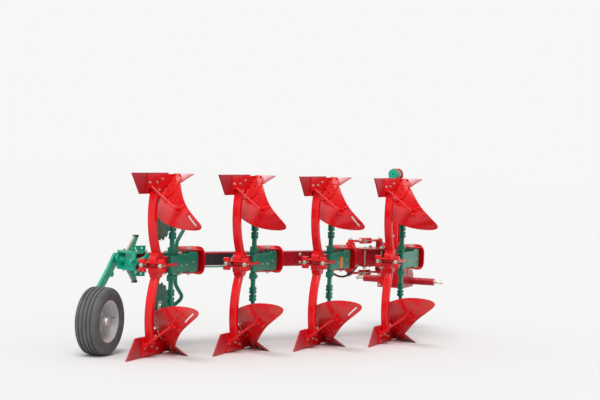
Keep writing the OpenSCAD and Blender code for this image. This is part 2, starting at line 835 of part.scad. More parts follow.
module mouldboards(i) {
    color("red") at_unit(i) both_sides() curved_plate(board_outline, 7, 0, board_t);
}

module skimmer() {
    y = -carrier_gap / 2;
    foot_z = stalk_h + stalk_foot;
    block([stalk_x - stalk_d / 2, y, -cut], [stalk_x + stalk_d / 2, y + stalk_w, stalk_h]);
    block([stalk_x - stalk_d / 2 - 14, y + 22, -cut], [stalk_x - stalk_d / 2 + cut, y + 38, stalk_plate_h]);
    side_plate(y - 5, stalk_w + 8)
        translate([stalk_x, (clamp_low + clamp_high) / 2])
            round_rect(2 * clamp_half, clamp_high - clamp_low, 12);
    block([stalk_x - clamp_half, y - 4, carrier_h + 4],
          [stalk_x + clamp_half, y + stalk_w + 12, carrier_h + 62]);
    side_plate(y + 4, stalk_w - 8)
        polygon([[stalk_x - 16, stalk_h - 60], [stalk_x + 16, stalk_h - 60], [stalk_x + 16, stalk_h],
                 [stalk_x + 48, foot_z - 52], [stalk_x + 58, foot_z - 17], [stalk_x + 30, foot_z],
                 [stalk_x + 10, foot_z - 52], [stalk_x - 16, stalk_h + 10]]);
    translate([skimmer_ahead, 0, mid_h - skimmer_rise - skimmer_size * mid_h]) scale(skimmer_size) {
        curved_plate(skimmer_outline, 4, 0, 16);
    }
}

module skimmers(i) {
    color("seagreen") at_unit(i) both_sides() skimmer();
}

// Points of the bent arm, from the carrier to the disc's hub
function arm_points() = [
    [arm_x, arm_y, carrier_rear_h + arm_foot_t],
    [arm_x, arm_y, arm_low_z],
    [arm_bend_x, arm_y, arm_high_z],
    [arm_bend_x, arm_out_y, disc_z],
    [disc_x, disc_y - 50, disc_z]
];

module coulter_arms() {
    p = arm_points();
    color("seagreen") at_unit(1) both_sides() {
        block([arm_x - 30, -carrier_outer, carrier_rear_h],
              [arm_x + 30, carrier_outer, carrier_rear_h + arm_foot_t]);
        bent_bar(rounded_path(p, 45), arm_d, [1, 0, 0]);
        bar_y(disc_hub_d - 20, disc_x, disc_z, disc_y - 60, disc_y - disc_hub_len / 2 - 1);
        bar_y(disc_axle_d, disc_x, disc_z, disc_y - 60, disc_y + disc_hub_len / 2 - 4);
    }
}

module disc() {
    translate([disc_x, disc_y, disc_z]) rotate([90, 0, 0]) difference() {
        union() {
            translate([0, 0, -disc_t / 2]) cylinder(d = disc_d, h = disc_t, $fn = 96);
            translate([0, 0, -disc_hub_len / 2]) cylinder(d = disc_hub_d, h = disc_hub_len);
        }
        for (k = [0 : disc_notches - 1]) rotate([0, 0, k * 360 / disc_notches])
            translate([disc_d / 2 + 4, 0, -disc_t]) cylinder(d = 44, h = 2 * disc_t);
        translate([0, 0, -disc_hub_len]) cylinder(d = disc_axle_d + 2 * pin_gap, h = 2 * disc_hub_len);
    }
}

module disc_upper() {
    color("darkslategray") at_unit(1) disc();
}

module disc_lower() {
    color("darkslategray") at_unit(1) mirror([0, 0, 1]) disc();
}

// The stops lean forward, above and below the pivot tube, and have a cap at the tip
module wheel_stop() {
    x = wheel_pivot_x;
    tip = x + stop_reach;
    side_plate(stop_y, stop_t)
        polygon([[x - 35, 20], [x + 40, 20], [tip, stop_h - 30], [tip - 12, stop_h - 6],
                 [tip - 50, stop_h - 4], [x - 66, 66]]);
    block([tip - stop_cap - 2, stop_y - 8, stop_h - 22], [tip - 2, stop_y + stop_t + 8, stop_h]);
}

module wheel_bracket() {
    rear = -beam_rear - 40;
    top = beam_w / 2 + bracket_t;
    left = 181;
    right = -150;
    strut_y = -beam_w / 2 - strut_d / 2 - 11;
    color("teal") {
        plough_axes() {
            bar_y(pivot_tube_d, wheel_pivot_x, 0, pivot_tube_y, wheel_arm_y - 2);
            bar_y(pivot_tube_d + 16, wheel_pivot_x, 0, pivot_tube_y, pivot_tube_y + 20);
            bar_y(pivot_pin_d, wheel_pivot_x, 0, wheel_arm_y - 10, wheel_arm_y + wheel_arm_t + 14);
            bar_y(pivot_pin_d + 24, wheel_pivot_x, 0, wheel_arm_y + wheel_arm_t + 2,
                  wheel_arm_y + wheel_arm_t + 14);
            both_sides() wheel_stop();
        }
        on_beam(0) {
            both_sides() {
                translate([0, 0, beam_w / 2]) linear_extrude(bracket_t)
                    polygon([[rear, right], [rear, left], [rear + 190, left], [rear + 210, left - 40],
                             [rear + 170, -beam_w / 2], [rear + 80, right]]);
                difference() {
                    block([rear + 20, -62, top - cut], [rear + 170, -50, top + 56]);
                    for (x = [rear + 60, rear + 130])
                        translate([x, -40, top + 32]) rotate([90, 0, 0]) cylinder(d = 20, h = 40);
                }
            }
            block([rear, left - bracket_t, -top], [rear + 190, left, top]);
            block([rear, right, -top], [rear + bracket_t, -beam_w / 2 - 15, top]);
            bar_x(strut_d, strut_y, 0, rear + bracket_t - cut, rear + 330);
            bar_x(strut_d + 20, strut_y, 0, rear + 60, rear + 90);
            block([rear + 290, strut_y - 12, -40], [rear + 330, -beam_w / 2, 40]);
        }
    }
}

module wheel_arm() {
    y = wheel_arm_y;
    color("teal") plough_axes() translate([wheel_pivot_x, 0, 0]) rotate([0, -wheel_down, 0])
        difference() {
            union() {
                side_plate(y, wheel_arm_t) {
                    polygon([[0, -60], [-180, -46], [-wheel_arm_len, -42], [-wheel_arm_len, 42],
                             [-180, 46], [0, 60]]);
                    circle(d = 120);
                    translate([-wheel_arm_len, 0]) circle(d = 110);
                }
                side_plate(y, wheel_arm_t) translate([-150, -62]) circle(d = 58);
                bar_y(wheel_axle_d, -wheel_arm_len, 0, wheel_y - 90, y + cut);
                bar_y(wheel_axle_d + 24, -wheel_arm_len, 0, wheel_y + 86, y + cut);
            }
            bar_y(pivot_pin_d + 2 * pin_gap, 0, 0, y - cut, y + wheel_arm_t + cut);
        }
}

module wheel_rim() {
    color("silver") plough_axes() translate([wheel_x, wheel_y, -wheel_drop]) rotate([-90, 0, 0])
        difference() {
            rotate_extrude($fn = 96) polygon([
                [20, -60], [wheel_hub_d / 2, -60], [wheel_hub_d / 2, 20], [150, 40], [176, 60],
                [176, -100], [rim_d / 2, -100], [rim_d / 2, 100], [186, 100], [186, 80],
                [150, 60], [60, 40], [60, 84], [20, 84]]);
            translate([0, 0, -200]) cylinder(d = wheel_axle_d + 2 * pin_gap, h = 400);
        }
}

module wheel_tyre() {
    r = tyre_d / 2;
    w = tyre_w / 2;
    color("dimgray") plough_axes() translate([wheel_x, wheel_y, -wheel_drop]) rotate([90, 0, 0])
        rotate_extrude($fn = 96) {
            polygon([[rim_d / 2, -100], [rim_d / 2 + 30, -w + 6], [r - 60, -w], [r - 14, -w + 18],
                     [r, -w + 44], [r, w - 44], [r - 14, w - 18], [r - 60, w],
                     [rim_d / 2 + 30, w - 6], [rim_d / 2, 100]]);
        }
}

module beam_head() {
    color("firebrick") {
        both_sides_mid() {
            on_beam_flat(clamp_q)
                block([0, -100, beam_w / 2], [clamp_len, 130, beam_w / 2 + clamp_t]);
            translate([0, 0, -mid_h]) on_turnover()
                block([link_front_x - link_post, -link_post, tube_h - cut],
                      [link_front_x + link_post, link_post, link_seat_z]);
        }
        difference() {
            on_turnover() difference() {
                block([tube_x, -tube_w, -tube_h], [shaft_start, tube_w, tube_h]);
                block([tube_x - cut, -tube_w + tube_wall, -tube_h + tube_wall],
                      [shaft_start - tube_wall, tube_w - tube_wall, tube_h - tube_wall]);
            }
            on_beam(0) block([0, -400, -200], [4000, beam_w / 2, 200]);
        }
    }
}

// A link with two eyes and a turnbuckle, above and below the beam
module adjusting_links() {
    a = [beam_ahead + link_q * cos(beam_angle), beam_aside - link_q * sin(beam_angle)];
    v = [link_front_x, turn_y] - a;
    len = norm(v);
    color("crimson") both_sides_mid() {
        on_beam_flat(link_q) {
            block([-link_post, -link_post, beam_w / 2], [link_post, link_post, link_seat_z]);
            block([-link_foot_len, -link_foot_half, beam_w / 2],
                  [link_post, link_foot_half, beam_w / 2 + link_foot_t]);
        }
        translate([0, 0, -mid_h]) plough_axes() translate([a[0], a[1], link_z])
            rotate([0, 0, atan2(v[1], v[0])]) {
                for (x = [0, len])
                    translate([x, 0, -link_eye_h / 2]) cylinder(d = link_eye_d, h = link_eye_h);
                bar_x(link_rod_d, 0, 0, link_eye_d / 4, len - link_eye_d / 4);
                difference() {
                    translate([buckle_start, 0, 0]) rotate([0, 90, 0]) linear_extrude(buckle_len)
                        round_rect(buckle_h, buckle_w, buckle_w * 3 / 8);
                    block([buckle_start + buckle_end, -buckle_w, -buckle_slot / 2],
                          [buckle_start + buckle_len - buckle_end, buckle_w, buckle_slot / 2]);
                }
            }
    }
}

// The hydraulic hose hangs in a loop, from the third bracket to the underside of the beam
hose_steps = 14;
hose_end = 16;
function hose_point(u) =
    let (q = hose_rear_q + (hose_front_q - hose_rear_q) * u,
         high = -dome_z + (dome_z - beam_w / 2) * u)
    [q, hose_aside - hose_spread * u, high - hose_end - hose_sag * pow(sin(180 * u), 0.8)];

module hose() {
    rear = [hose_rear_q, hose_aside, -dome_z];
    front = [hose_front_q, hose_aside - hose_spread, -beam_w / 2];
    loop = [for (k = [0 : hose_steps]) hose_point(k / hose_steps)];
    color("black") on_beam(0) bent_bar(concat([rear], loop, [front]), hose_d, [0, 1, 0], 10);
}

// Draws shapes of the plough's axes twice, mirrored about the middle plane
module both_sides_mid() {
    translate([0, 0, mid_h]) both_sides() children();
}

module on_beam_flat(q) {
    translate([0, 0, -mid_h]) on_beam(q) children();
}

module turnover_shaft() {
    color("dimgray") on_turnover() {
        bar_x(shaft_d, 0, 0, shaft_start, crank_x + cut);
        bar_x(crank_disc_d, 0, 0, crank_x, crank_x + crank_t);
        block([crank_x, 0, -crank_eye_d / 2], [crank_x + crank_t, crank_r, crank_eye_d / 2]);
        bar_x(crank_eye_d, crank_r, 0, crank_x, crank_x + crank_t);
    }
}

// Outline of the headstock's front and rear plates, seen along the travel
module head_outline(half_w) {
    difference() {
        union() {
            polygon([[-half_w, -box_bottom], [half_w, -box_bottom], [half_w, box_top],
                     [mast_half_w, mast_foot], [mast_half_w, ram_top], [-mast_half_w, ram_top],
                     [-mast_half_w, mast_foot], [-half_w, box_top]]);
            translate([0, ram_top]) circle(r = mast_half_w);
        }
        translate([0, ram_top]) circle(d = crank_pin_d + 10);
    }
}

module across_plate(x, t) {
    translate([x, 0, 0]) rotate([90, 0, 90]) linear_extrude(t) children();
}

// The rear plate with the turnover bearing, and the front plate with the lugs of the top link
module headstock() {
    front = head_x + head_len - head_plate_t;
    lug_z = mast_height - link_drop;
    lug_x = head_x + head_len;
    color("firebrick") on_turnover() {
        difference() {
            union() {
                across_plate(head_x, head_plate_t) head_outline(head_half_w);
                bar_x(bearing_d, 0, 0, head_x - bearing_len, head_x + cut);
            }
            bar_x(shaft_d + 2 * pin_gap, 0, 0, head_x - bearing_len - cut, head_x + head_plate_t + cut);
        }
        across_plate(front, head_plate_t) head_outline(head_half_w - cheek_t);
        for (y = [top_gap / 2, -top_gap / 2 - lug_t])
            side_plate(y, lug_t) difference() {
                polygon([[lug_x - cut, lug_z - 90], [lug_x + 150, lug_z - 40],
                         [lug_x + 150, lug_z + 40], [lug_x - cut, lug_z + 90]]);
                translate([lug_x + 105, lug_z]) circle(d = top_hole_d);
            }
    }
}

// The plates that close the headstock's sides and carry the cross shaft
module headstock_cheeks() {
    rear = head_x + head_plate_t;
    front = head_x + head_len;
    tip = head_x + link_ahead + link_front;
    color("firebrick") on_turnover() difference() {
        for (y = [head_half_w - cheek_t, -head_half_w])
            side_plate(y, cheek_t)
                polygon([[rear, -box_bottom], [tip, -box_bottom], [tip, -link_drop + 70], [front, 0],
                         [front, box_top], [rear, box_top]]);
        bar_y(cross_d, head_x + link_ahead, -link_drop, -400, 400);
    }
}

module cross_shaft() {
    color("darkred") on_turnover() {
        bar_y(cross_d, head_x + link_ahead, -link_drop, -link_half, link_half);
        bar_y(link_pin_d, head_x + link_ahead, -link_drop, -link_half - link_pin_len,
              link_half + link_pin_len);
    }
}

module ram_barrel() {
    color("teal") on_turnover() translate([ram_x, 0, ram_top]) rotate([ram_tilt, 0, 0]) difference() {
        union() {
            bar_x(ram_d + 20, 0, 0, -48, 48);
            bar_x(boss_d, 0, 0, -head_len / 2 - 40, -head_len / 2 - 1);
            bar_x(crank_pin_d + 10 - 2 * pin_gap, 0, 0, -head_len / 2 - 10, head_len / 2 + 10);
            translate([0, 0, -ram_len]) cylinder(d = ram_d, h = ram_len);
        }
        translate([0, 0, -ram_len - cut]) cylinder(d = rod_d + 2 * pin_gap, h = ram_len - 80);
    }
}

module ram_rod() {
    color("silver") on_turnover() translate([ram_x, 0, ram_top]) rotate([ram_tilt, 0, 0]) difference() {
        union() {
            translate([0, 0, -ram_pin_len]) cylinder(d = rod_d, h = ram_pin_len - 100);
            bar_x(rod_eye_d, 0, -ram_pin_len, -rod_eye_w / 2, rod_eye_w / 2);
            bar_x(crank_pin_d, 0, -ram_pin_len, -rod_eye_w / 2 - 3, rod_eye_w / 2 + 10);
        }
    }
}

main_beam();
beam_brackets();
swing_pins();
beam_head();
adjusting_links();
hose();
turnover_shaft();
for (i = [1 : 4]) {
    carrier(i);
    springs(i);
    legs(i);
    frogs(i);
    landsides(i);
    shares(i);
    mouldboards(i);
    skimmers(i);
}
coulter_arms();
disc_upper();
disc_lower();
wheel_bracket();
wheel_arm();
wheel_rim();
wheel_tyre();
headstock();
headstock_cheeks();
cross_shaft();
ram_barrel();
ram_rod();
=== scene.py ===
"""Looks of the four-furrow reversible plough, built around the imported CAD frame.

The pieces are built in millimetres in the plough's axes, whose origin is the rear unit's leg root
on the middle plane, with X in the direction of travel, Y to the left and Z up.
"""

import json
import math

import bmesh
import bpy
from mathutils import Matrix, Vector


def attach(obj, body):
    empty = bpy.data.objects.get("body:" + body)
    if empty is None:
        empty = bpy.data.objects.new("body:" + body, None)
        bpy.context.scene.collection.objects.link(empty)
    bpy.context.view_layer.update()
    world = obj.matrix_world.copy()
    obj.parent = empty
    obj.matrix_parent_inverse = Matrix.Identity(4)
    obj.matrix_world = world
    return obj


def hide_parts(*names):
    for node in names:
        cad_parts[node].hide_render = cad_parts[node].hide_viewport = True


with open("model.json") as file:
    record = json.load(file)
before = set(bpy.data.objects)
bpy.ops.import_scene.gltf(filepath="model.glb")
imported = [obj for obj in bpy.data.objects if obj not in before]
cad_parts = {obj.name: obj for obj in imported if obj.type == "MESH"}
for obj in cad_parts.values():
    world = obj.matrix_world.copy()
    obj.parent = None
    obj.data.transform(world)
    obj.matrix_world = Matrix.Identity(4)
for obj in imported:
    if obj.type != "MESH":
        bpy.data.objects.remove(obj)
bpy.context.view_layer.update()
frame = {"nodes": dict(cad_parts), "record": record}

# Place of the plough's axes in the part's frame
MM = 0.001
MID_H = 860.0
ORIGIN = Vector((-1.7185030, 0.7249908, MID_H * MM))
SPACING = 950.0
BEAM_ANGLE = math.radians(33)
STEP = Vector((SPACING * math.cos(BEAM_ANGLE), -SPACING * math.sin(BEAM_ANGLE), 0))
BEAM_START = Vector((890, 85, 0))
CROSS_Q = 2.5 * SPACING + 21
TURN_Y = BEAM_START.y - CROSS_Q * math.sin(BEAM_ANGLE)
HEAD_X = BEAM_START.x + CROSS_Q * math.cos(BEAM_ANGLE) + 630.5

# Camera, from the places of the four legs and boards in the photograph
CAMERA_AT = Vector((-15.259, -5.605, 1.960))
CAMERA_HEADING = math.radians(20)
CAMERA_PITCH = math.radians(-1.72)
CAMERA_ROLL = math.radians(2)
CAMERA_LENS = 96
CAMERA_SENSOR = 36
CAMERA_FAR = 400


def add_object(name, data):
    obj = bpy.data.objects.new(name, data)
    bpy.context.scene.collection.objects.link(obj)
    return obj


def add_camera():
    data = bpy.data.cameras.new("camera")
    data.lens = CAMERA_LENS
    data.sensor_width = CAMERA_SENSOR
    data.clip_end = CAMERA_FAR
    camera = add_object("camera", data)
    level = math.cos(CAMERA_PITCH)
    forward = Vector((math.cos(CAMERA_HEADING) * level, math.sin(CAMERA_HEADING) * level,
                      math.sin(CAMERA_PITCH)))
    right = forward.cross(Vector((0, 0, 1))).normalized()
    up = right.cross(forward)
    turned_right = math.cos(CAMERA_ROLL) * right + math.sin(CAMERA_ROLL) * up
    turned_up = turned_right.cross(forward)
    rotation = Matrix((turned_right, turned_up, -forward)).transposed()
    camera.matrix_world = Matrix.Translation(CAMERA_AT) @ rotation.to_4x4()
    bpy.context.scene.camera = camera


add_camera()

# Materials
PAINT_SPECULAR = 0.34
PAINT_DUST = (0.52, 0.43, 0.34)
SOIL_COLOR = (0.16, 0.12, 0.09)
CHIP_COLOR = (0.35, 0.33, 0.31)
STEEL_DUST = (0.40, 0.33, 0.26)
RUST_COLOR = (0.24, 0.10, 0.05)
RUBBER_DUST = (0.30, 0.26, 0.21)


def node_material(name):
    material = bpy.data.materials.new(name)
    material.use_nodes = True
    tree = material.node_tree
    tree.nodes.clear()
    shader = tree.nodes.new("ShaderNodeBsdfPrincipled")
    out = tree.nodes.new("ShaderNodeOutputMaterial")
    tree.links.new(shader.outputs[0], out.inputs[0])
    return material, tree, shader


def feed(tree, node, inputs):
    """Links or sets a node's inputs, by their names or places."""
    for key, value in inputs.items():
        if isinstance(value, bpy.types.NodeSocket):
            tree.links.new(value, node.inputs[key])
        else:
            node.inputs[key].default_value = value
    return node


def add_node(tree, kind, inputs):
    return feed(tree, tree.nodes.new("ShaderNode" + kind), inputs)


def noise(tree, coords, scale, detail, rough=0.55, distortion=0.0):
    return add_node(tree, "TexNoise", {"Vector": coords, "Scale": scale, "Detail": detail, "Roughness": rough,
                                       "Distortion": distortion}).outputs["Fac"]


def ramp(tree, value, low, high, out_low=0.0, out_high=1.0):
    node = add_node(tree, "MapRange", {"Value": value, "From Min": low, "From Max": high, "To Min": out_low,
                                       "To Max": out_high})
    node.interpolation_type = "SMOOTHSTEP"
    return node.outputs["Result"]


def mix(tree, factor, first, second):
    node = tree.nodes.new("ShaderNodeMix")
    node.data_type = "RGBA"
    first, second = ((*value, 1) if isinstance(value, tuple) else value for value in (first, second))
    return feed(tree, node, {"Factor": factor, "A": first, "B": second}).outputs["Result"]


def calc(tree, operation, first, second):
    node = add_node(tree, "Math", {0: first, 1: second})
    node.operation = operation
    node.use_clamp = True
    return node.outputs[0]


def bump(tree, shader, height, strength, distance):
    node = add_node(tree, "Bump", {"Strength": strength, "Distance": distance, "Height": height})
    tree.links.new(node.outputs[0], shader.inputs["Normal"])


def apart(tree, vector):
    """The three parts of a vector, by their names."""
    return add_node(tree, "SeparateXYZ", {0: vector}).outputs


def paint(name, base, deep, dust, matt, chips=0.0, soil=0.0, soil_top=0.0, nose=None):
    """Sprayed paint with an uneven tone, dust on what faces up, chips and dried soil.

    The nose gives two lengths forward of the object's origin, between which the paint wears off, and
    the colour under it.
    """
    material, tree, shader = node_material(name)
    normal = tree.nodes.new("ShaderNodeNewGeometry").outputs["Normal"]
    coordinates = tree.nodes.new("ShaderNodeTexCoord").outputs["Object"]
    broad = noise(tree, coordinates, 2.3, 5)
    fine = noise(tree, coordinates, 26, 6, 0.65)
    color = mix(tree, ramp(tree, broad, 0.35, 0.7), base, deep)
    facing_up = ramp(tree, apart(tree, normal)["Z"], 0.2, 0.95)
    dusty = calc(tree, "MULTIPLY", facing_up, ramp(tree, fine, 0.3, 0.7, 0.4, 1.0))
    dusty = calc(tree, "ADD", dusty, ramp(tree, fine, 0.55, 0.85, 0.0, 0.35))
    dusty = calc(tree, "MULTIPLY", dusty, dust)
    color = mix(tree, dusty, color, PAINT_DUST)
    rough = ramp(tree, fine, 0.3, 0.8, matt, matt + 0.16)
    if soil:
        near_ground = ramp(tree, apart(tree, coordinates)["Z"], 0.02, soil_top, 1.0, 0.0)
        patchy = noise(tree, coordinates, 9, 8, 0.7, 0.6)
        caked = calc(tree, "MULTIPLY", near_ground, ramp(tree, patchy, 0.42, 0.6))
        caked = calc(tree, "MULTIPLY", caked, soil)
        color = mix(tree, caked, color, SOIL_COLOR)
        rough = calc(tree, "ADD", rough, calc(tree, "MULTIPLY", caked, 0.5))
    if nose:
        start, end, bare = nose
        streaks = noise(tree, coordinates, 22, 6, 0.7, 0.4)
        worn = calc(tree, "MULTIPLY", ramp(tree, apart(tree, coordinates)["X"], start, end),
                    ramp(tree, streaks, 0.25, 0.6, 0.45, 1.0))
        color = mix(tree, worn, color, bare)
    if chips:
        spots = noise(tree, coordinates, 60, 3, 0.5)
        chipped = calc(tree, "MULTIPLY", ramp(tree, spots, 0.70, 0.74), chips)
        color = mix(tree, chipped, color, CHIP_COLOR)
    feed(tree, shader, {"Base Color": color, "Roughness": rough, "Specular IOR Level": PAINT_SPECULAR})
    bump(tree, shader, noise(tree, coordinates, 160, 3), 0.05, 0.002)
    return material


def steel(name, base, deep, dust, matt, rust=0.0):
    """Bare or thinly coated metal with dust in its grain and patches of rust."""
    material, tree, shader = node_material(name)
    coordinates = tree.nodes.new("ShaderNodeTexCoord").outputs["Object"]
    broad = noise(tree, coordinates, 14, 5)
    fine = noise(tree, coordinates, 90, 6, 0.65)
    color = mix(tree, ramp(tree, broad, 0.35, 0.7), base, deep)
    color = mix(tree, ramp(tree, fine, 0.5, 0.8, 0.0, dust), color, STEEL_DUST)
    if rust:
        patchy = noise(tree, coordinates, 7, 8, 0.7, 0.5)
        color = mix(tree, ramp(tree, patchy, 0.45, 0.62, 0.0, rust), color, RUST_COLOR)
    rough = ramp(tree, fine, 0.3, 0.8, matt, matt + 0.25)
    feed(tree, shader, {"Base Color": color, "Roughness": rough, "Metallic": 1.0})
    bump(tree, shader, fine, 0.08, 0.001)
    return material


def rubber(name, base, deep):
    material, tree, shader = node_material(name)
    coordinates = tree.nodes.new("ShaderNodeTexCoord").outputs["Object"]
    broad = noise(tree, coordinates, 8, 6, 0.6)
    fine = noise(tree, coordinates, 120, 5, 0.6)
    color = mix(tree, ramp(tree, broad, 0.4, 0.7), base, deep)
    color = mix(tree, ramp(tree, fine, 0.55, 0.8, 0.0, 0.35), color, RUBBER_DUST)
    feed(tree, shader, {"Base Color": color, "Roughness": ramp(tree, fine, 0.3, 0.8, 0.55, 0.85)})
    bump(tree, shader, fine, 0.25, 0.002)
    return material


# Paints: tone, deeper tone, dust, least roughness, chips, soil, the soil's top and nose
PAINTS = {
    "red_paint": ((0.76, 0.006, 0.011), (0.66, 0.005, 0.010), 0.08, 0.16, 0.2),
    "board_paint": ((0.72, 0.006, 0.012), (0.60, 0.006, 0.012), 0.08, 0.18, 0.25, 0.35, 0.2),
    "share_paint": ((0.52, 0.008, 0.020), (0.42, 0.008, 0.018), 0.14, 0.3, 0.5, 0.4, 0.12),
    "share_worn": ((0.60, 0.03, 0.045), (0.50, 0.04, 0.05), 0.2, 0.3, 0.6, 0.4, 0.12,
                   (0.18, 0.40, (0.80, 0.62, 0.68))),
    "beam_paint": ((0.46, 0.005, 0.018), (0.36, 0.004, 0.014), 0.2, 0.22, 0.3),
    "green_paint": ((0.006, 0.23, 0.145), (0.005, 0.18, 0.115), 0.12, 0.24, 0.1),
    "wheel_green": ((0.008, 0.46, 0.30), (0.006, 0.35, 0.23), 0.12, 0.24, 0.3),
    "spring_steel": ((0.05, 0.05, 0.055), (0.03, 0.03, 0.034), 0.3, 0.4),
    "rim_paint": ((0.66, 0.67, 0.68), (0.52, 0.53, 0.54), 0.3, 0.3),
    "hub_paint": ((0.50, 0.51, 0.52), (0.38, 0.39, 0.40), 0.35, 0.4),
    "panel_dark": ((0.035, 0.038, 0.042), (0.028, 0.030, 0.034), 0.2, 0.3),
    "panel_white": ((0.80, 0.80, 0.78), (0.72, 0.72, 0.70), 0.15, 0.3),
    "mark_orange": ((0.85, 0.26, 0.01), (0.75, 0.22, 0.01), 0.15, 0.3),
    "worn_face": ((0.42, 0.38, 0.28), (0.30, 0.26, 0.18), 0.4, 0.5),
}
# Metals: tone, deeper tone, dust, least roughness and rust
STEELS = {
    "disc_steel": ((0.03, 0.24, 0.17), (0.05, 0.13, 0.10), 0.5, 0.42, 0.8),
    "zinc": ((0.66, 0.63, 0.54), (0.48, 0.45, 0.37), 0.25, 0.28),
    "hub_zinc": ((0.88, 0.88, 0.86), (0.74, 0.73, 0.70), 0.1, 0.35),
}
# Rubbers: tone and deeper tone
RUBBERS = {
    "tyre": ((0.075, 0.080, 0.086), (0.115, 0.115, 0.112)),
    "rubber_hose": ((0.022, 0.022, 0.024), (0.05, 0.047, 0.043)),
}
MATERIALS = {}
for make, looks in ((paint, PAINTS), (steel, STEELS), (rubber, RUBBERS)):
    for look, settings in looks.items():
        MATERIALS[look] = make(look, *settings)

look_of = {part["node"]: part["material_slot"] for part in frame["record"]["subparts"]}
look_of["headstock"] = "red_paint"

for node, obj in frame["nodes"].items():
    obj.data.materials.clear()
    obj.data.materials.append(MATERIALS[look_of[node]])

# Mesh building, in millimetres
SHARP = math.radians(32)
MERGE_GAP = 0.001
SQRT_3 = 1.732
WASHER = 1.35
HEAD_TURN = 0.3
BEAD_WOBBLE = 0.16
REAR = Vector((-1, 0, 0))
LEFT = Vector((0, 1, 0))
RIGHT = -LEFT
UP = Vector((0, 0, 1))
AXES = {"x": -REAR, "y": LEFT, "z": UP}


def shade(bm, gap=MERGE_GAP):
    """Joins points that meet, turns the faces outwards and marks the sharp edges."""
    bmesh.ops.remove_doubles(bm, verts=bm.verts, dist=gap)
    bmesh.ops.recalc_face_normals(bm, faces=bm.faces)
    bm.normal_update()
    for face in bm.faces:
        face.smooth = True
    for edge in bm.edges:
        edge.smooth = len(edge.link_faces) == 2 and edge.calc_face_angle(0) < SHARP


def to_mesh(bm, name, look, bevel=0.0):
    """A mesh in metres from a shape in millimetres, which is used up."""
    if bevel:
        edges = [e for e in bm.edges if len(e.link_faces) == 2 and e.calc_face_angle(0) > SHARP]
        bmesh.ops.bevel(bm, geom=edges, offset=bevel, segments=2, affect="EDGES", profile=0.6,
                        clamp_overlap=True)
    shade(bm)
    bmesh.ops.scale(bm, vec=(MM, MM, MM), verts=bm.verts)
    mesh = bpy.data.meshes.new(name)
    bm.to_mesh(mesh)
    bm.free()
    mesh.materials.append(MATERIALS[look])
    return mesh


def add_piece(name, mesh, body="frame", offset=Vector((0, 0, 0)), replaced=()):
    """Places a mesh that rides on a body and takes the place of CAD nodes if some are named."""
    obj = add_object(name, mesh)
    obj.location = ORIGIN + offset * MM
    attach(obj, body)
    if replaced:
        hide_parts(*replaced)


def new_piece(name, bm, slot, look="", body="frame", offset=Vector((0, 0, 0)), bevel=0.0, replaced=()):
    add_piece(name, to_mesh(bm, name, look or slot, bevel), body, offset, replaced)


def unit_pieces(name, bm, slot, look="", units=(1, 2, 3, 4), bevel=0.0, replaced=""):
    """One piece at each unit, from a shape built around the rear leg's root."""
    mesh = to_mesh(bm, name, look or slot, bevel)
    for i in units:
        node = ("%s_%d" % (replaced, i),) if replaced else ()
        add_piece("%s_%d" % (name, i), mesh, offset=STEP * (i - 1), replaced=node)


def mirror_below(bm):
    """Adds the mirror image below the middle plane."""
    copied = bmesh.ops.duplicate(bm, geom=list(bm.verts) + list(bm.edges) + list(bm.faces))["geom"]
    for item in copied:
        if isinstance(item, bmesh.types.BMVert):
            item.co.z = -item.co.z
    bmesh.ops.reverse_faces(bm, faces=[item for item in copied if isinstance(item, bmesh.types.BMFace)])


def basis(axis):
    """Two directions across an axis."""
    hint = -REAR if abs(axis.dot(UP)) > 0.95 else UP
    side = axis.cross(hint).normalized()
    return side, side.cross(axis).normalized()


def circle(centre, radius, plane, count, start=0.0, closed=False):
    """Points on a circle in a plane such as xz, from its first axis towards its second."""
    first, second = (AXES[letter] for letter in plane)
    angles = [math.radians(start) + 2 * math.pi * k / count for k in range(count + closed)]
    return [Vector(centre) + radius * (math.cos(a) * first + math.sin(a) * second) for a in angles]


def ring(bm, centre, side, up, radius, count, turn=0.0):
    points = []
    for k in range(count):
        a = 2 * math.pi * k / count + turn
        points.append(bm.verts.new(centre + radius * (math.cos(a) * side + math.sin(a) * up)))
    return points


def skin(bm, rings, closed=False):
    """Joins rings of points by faces and closes the ends."""
    count = len(rings[0])
    pairs = list(zip(rings, rings[1:]))
    if closed:
        pairs.append((rings[-1], rings[0]))
    for first, second in pairs:
        for k in range(count):
            n = (k + 1) % count
            bm.faces.new((first[k], second[k], second[n], first[n]))
    if not closed:
        bm.faces.new(rings[0])
        bm.faces.new(list(reversed(rings[-1])))


def turned(bm, base, axis, profile, count, turn=0.0):
    """A turned solid. The profile has pairs of (distance along the axis, radius)."""
    base = Vector(base)
    axis = Vector(axis).normalized()
    side, up = basis(axis)
    skin(bm, [ring(bm, base + along * axis, up, side, radius, count, turn) for along, radius in profile])


def cylinder(bm, base, axis, radius, length, chamfer, count):
    """A cylinder with chamfered ends."""
    turned(bm, base, axis, [(0, radius - chamfer), (chamfer, radius), (length - chamfer, radius),
                            (length, radius - chamfer)], count)


def rod(bm, a, b, radius, count, chamfer=1.5):
    way = Vector(b) - Vector(a)
    cylinder(bm, a, way, radius, way.length, chamfer, count)


def bolt(bm, base, axis, across, head, shank=0.0):
    """A hexagon head on a washer, with an end of thread past it if asked for."""
    axis = Vector(axis).normalized()
    base = Vector(base)
    r = across / SQRT_3
    thick = across * 0.13
    cylinder(bm, base, axis, r * WASHER, thick, 0.8, 24)
    turned(bm, base + axis * thick, axis, [(0, r), (head - 2, r), (head, r * 0.84)], 6, HEAD_TURN)
    if shank:
        thread = across * 0.31
        turned(bm, base + axis * (thick + head - 0.5), axis,
               [(0, thread), (shank - 1.5, thread), (shank, thread - 1.5)], 16)


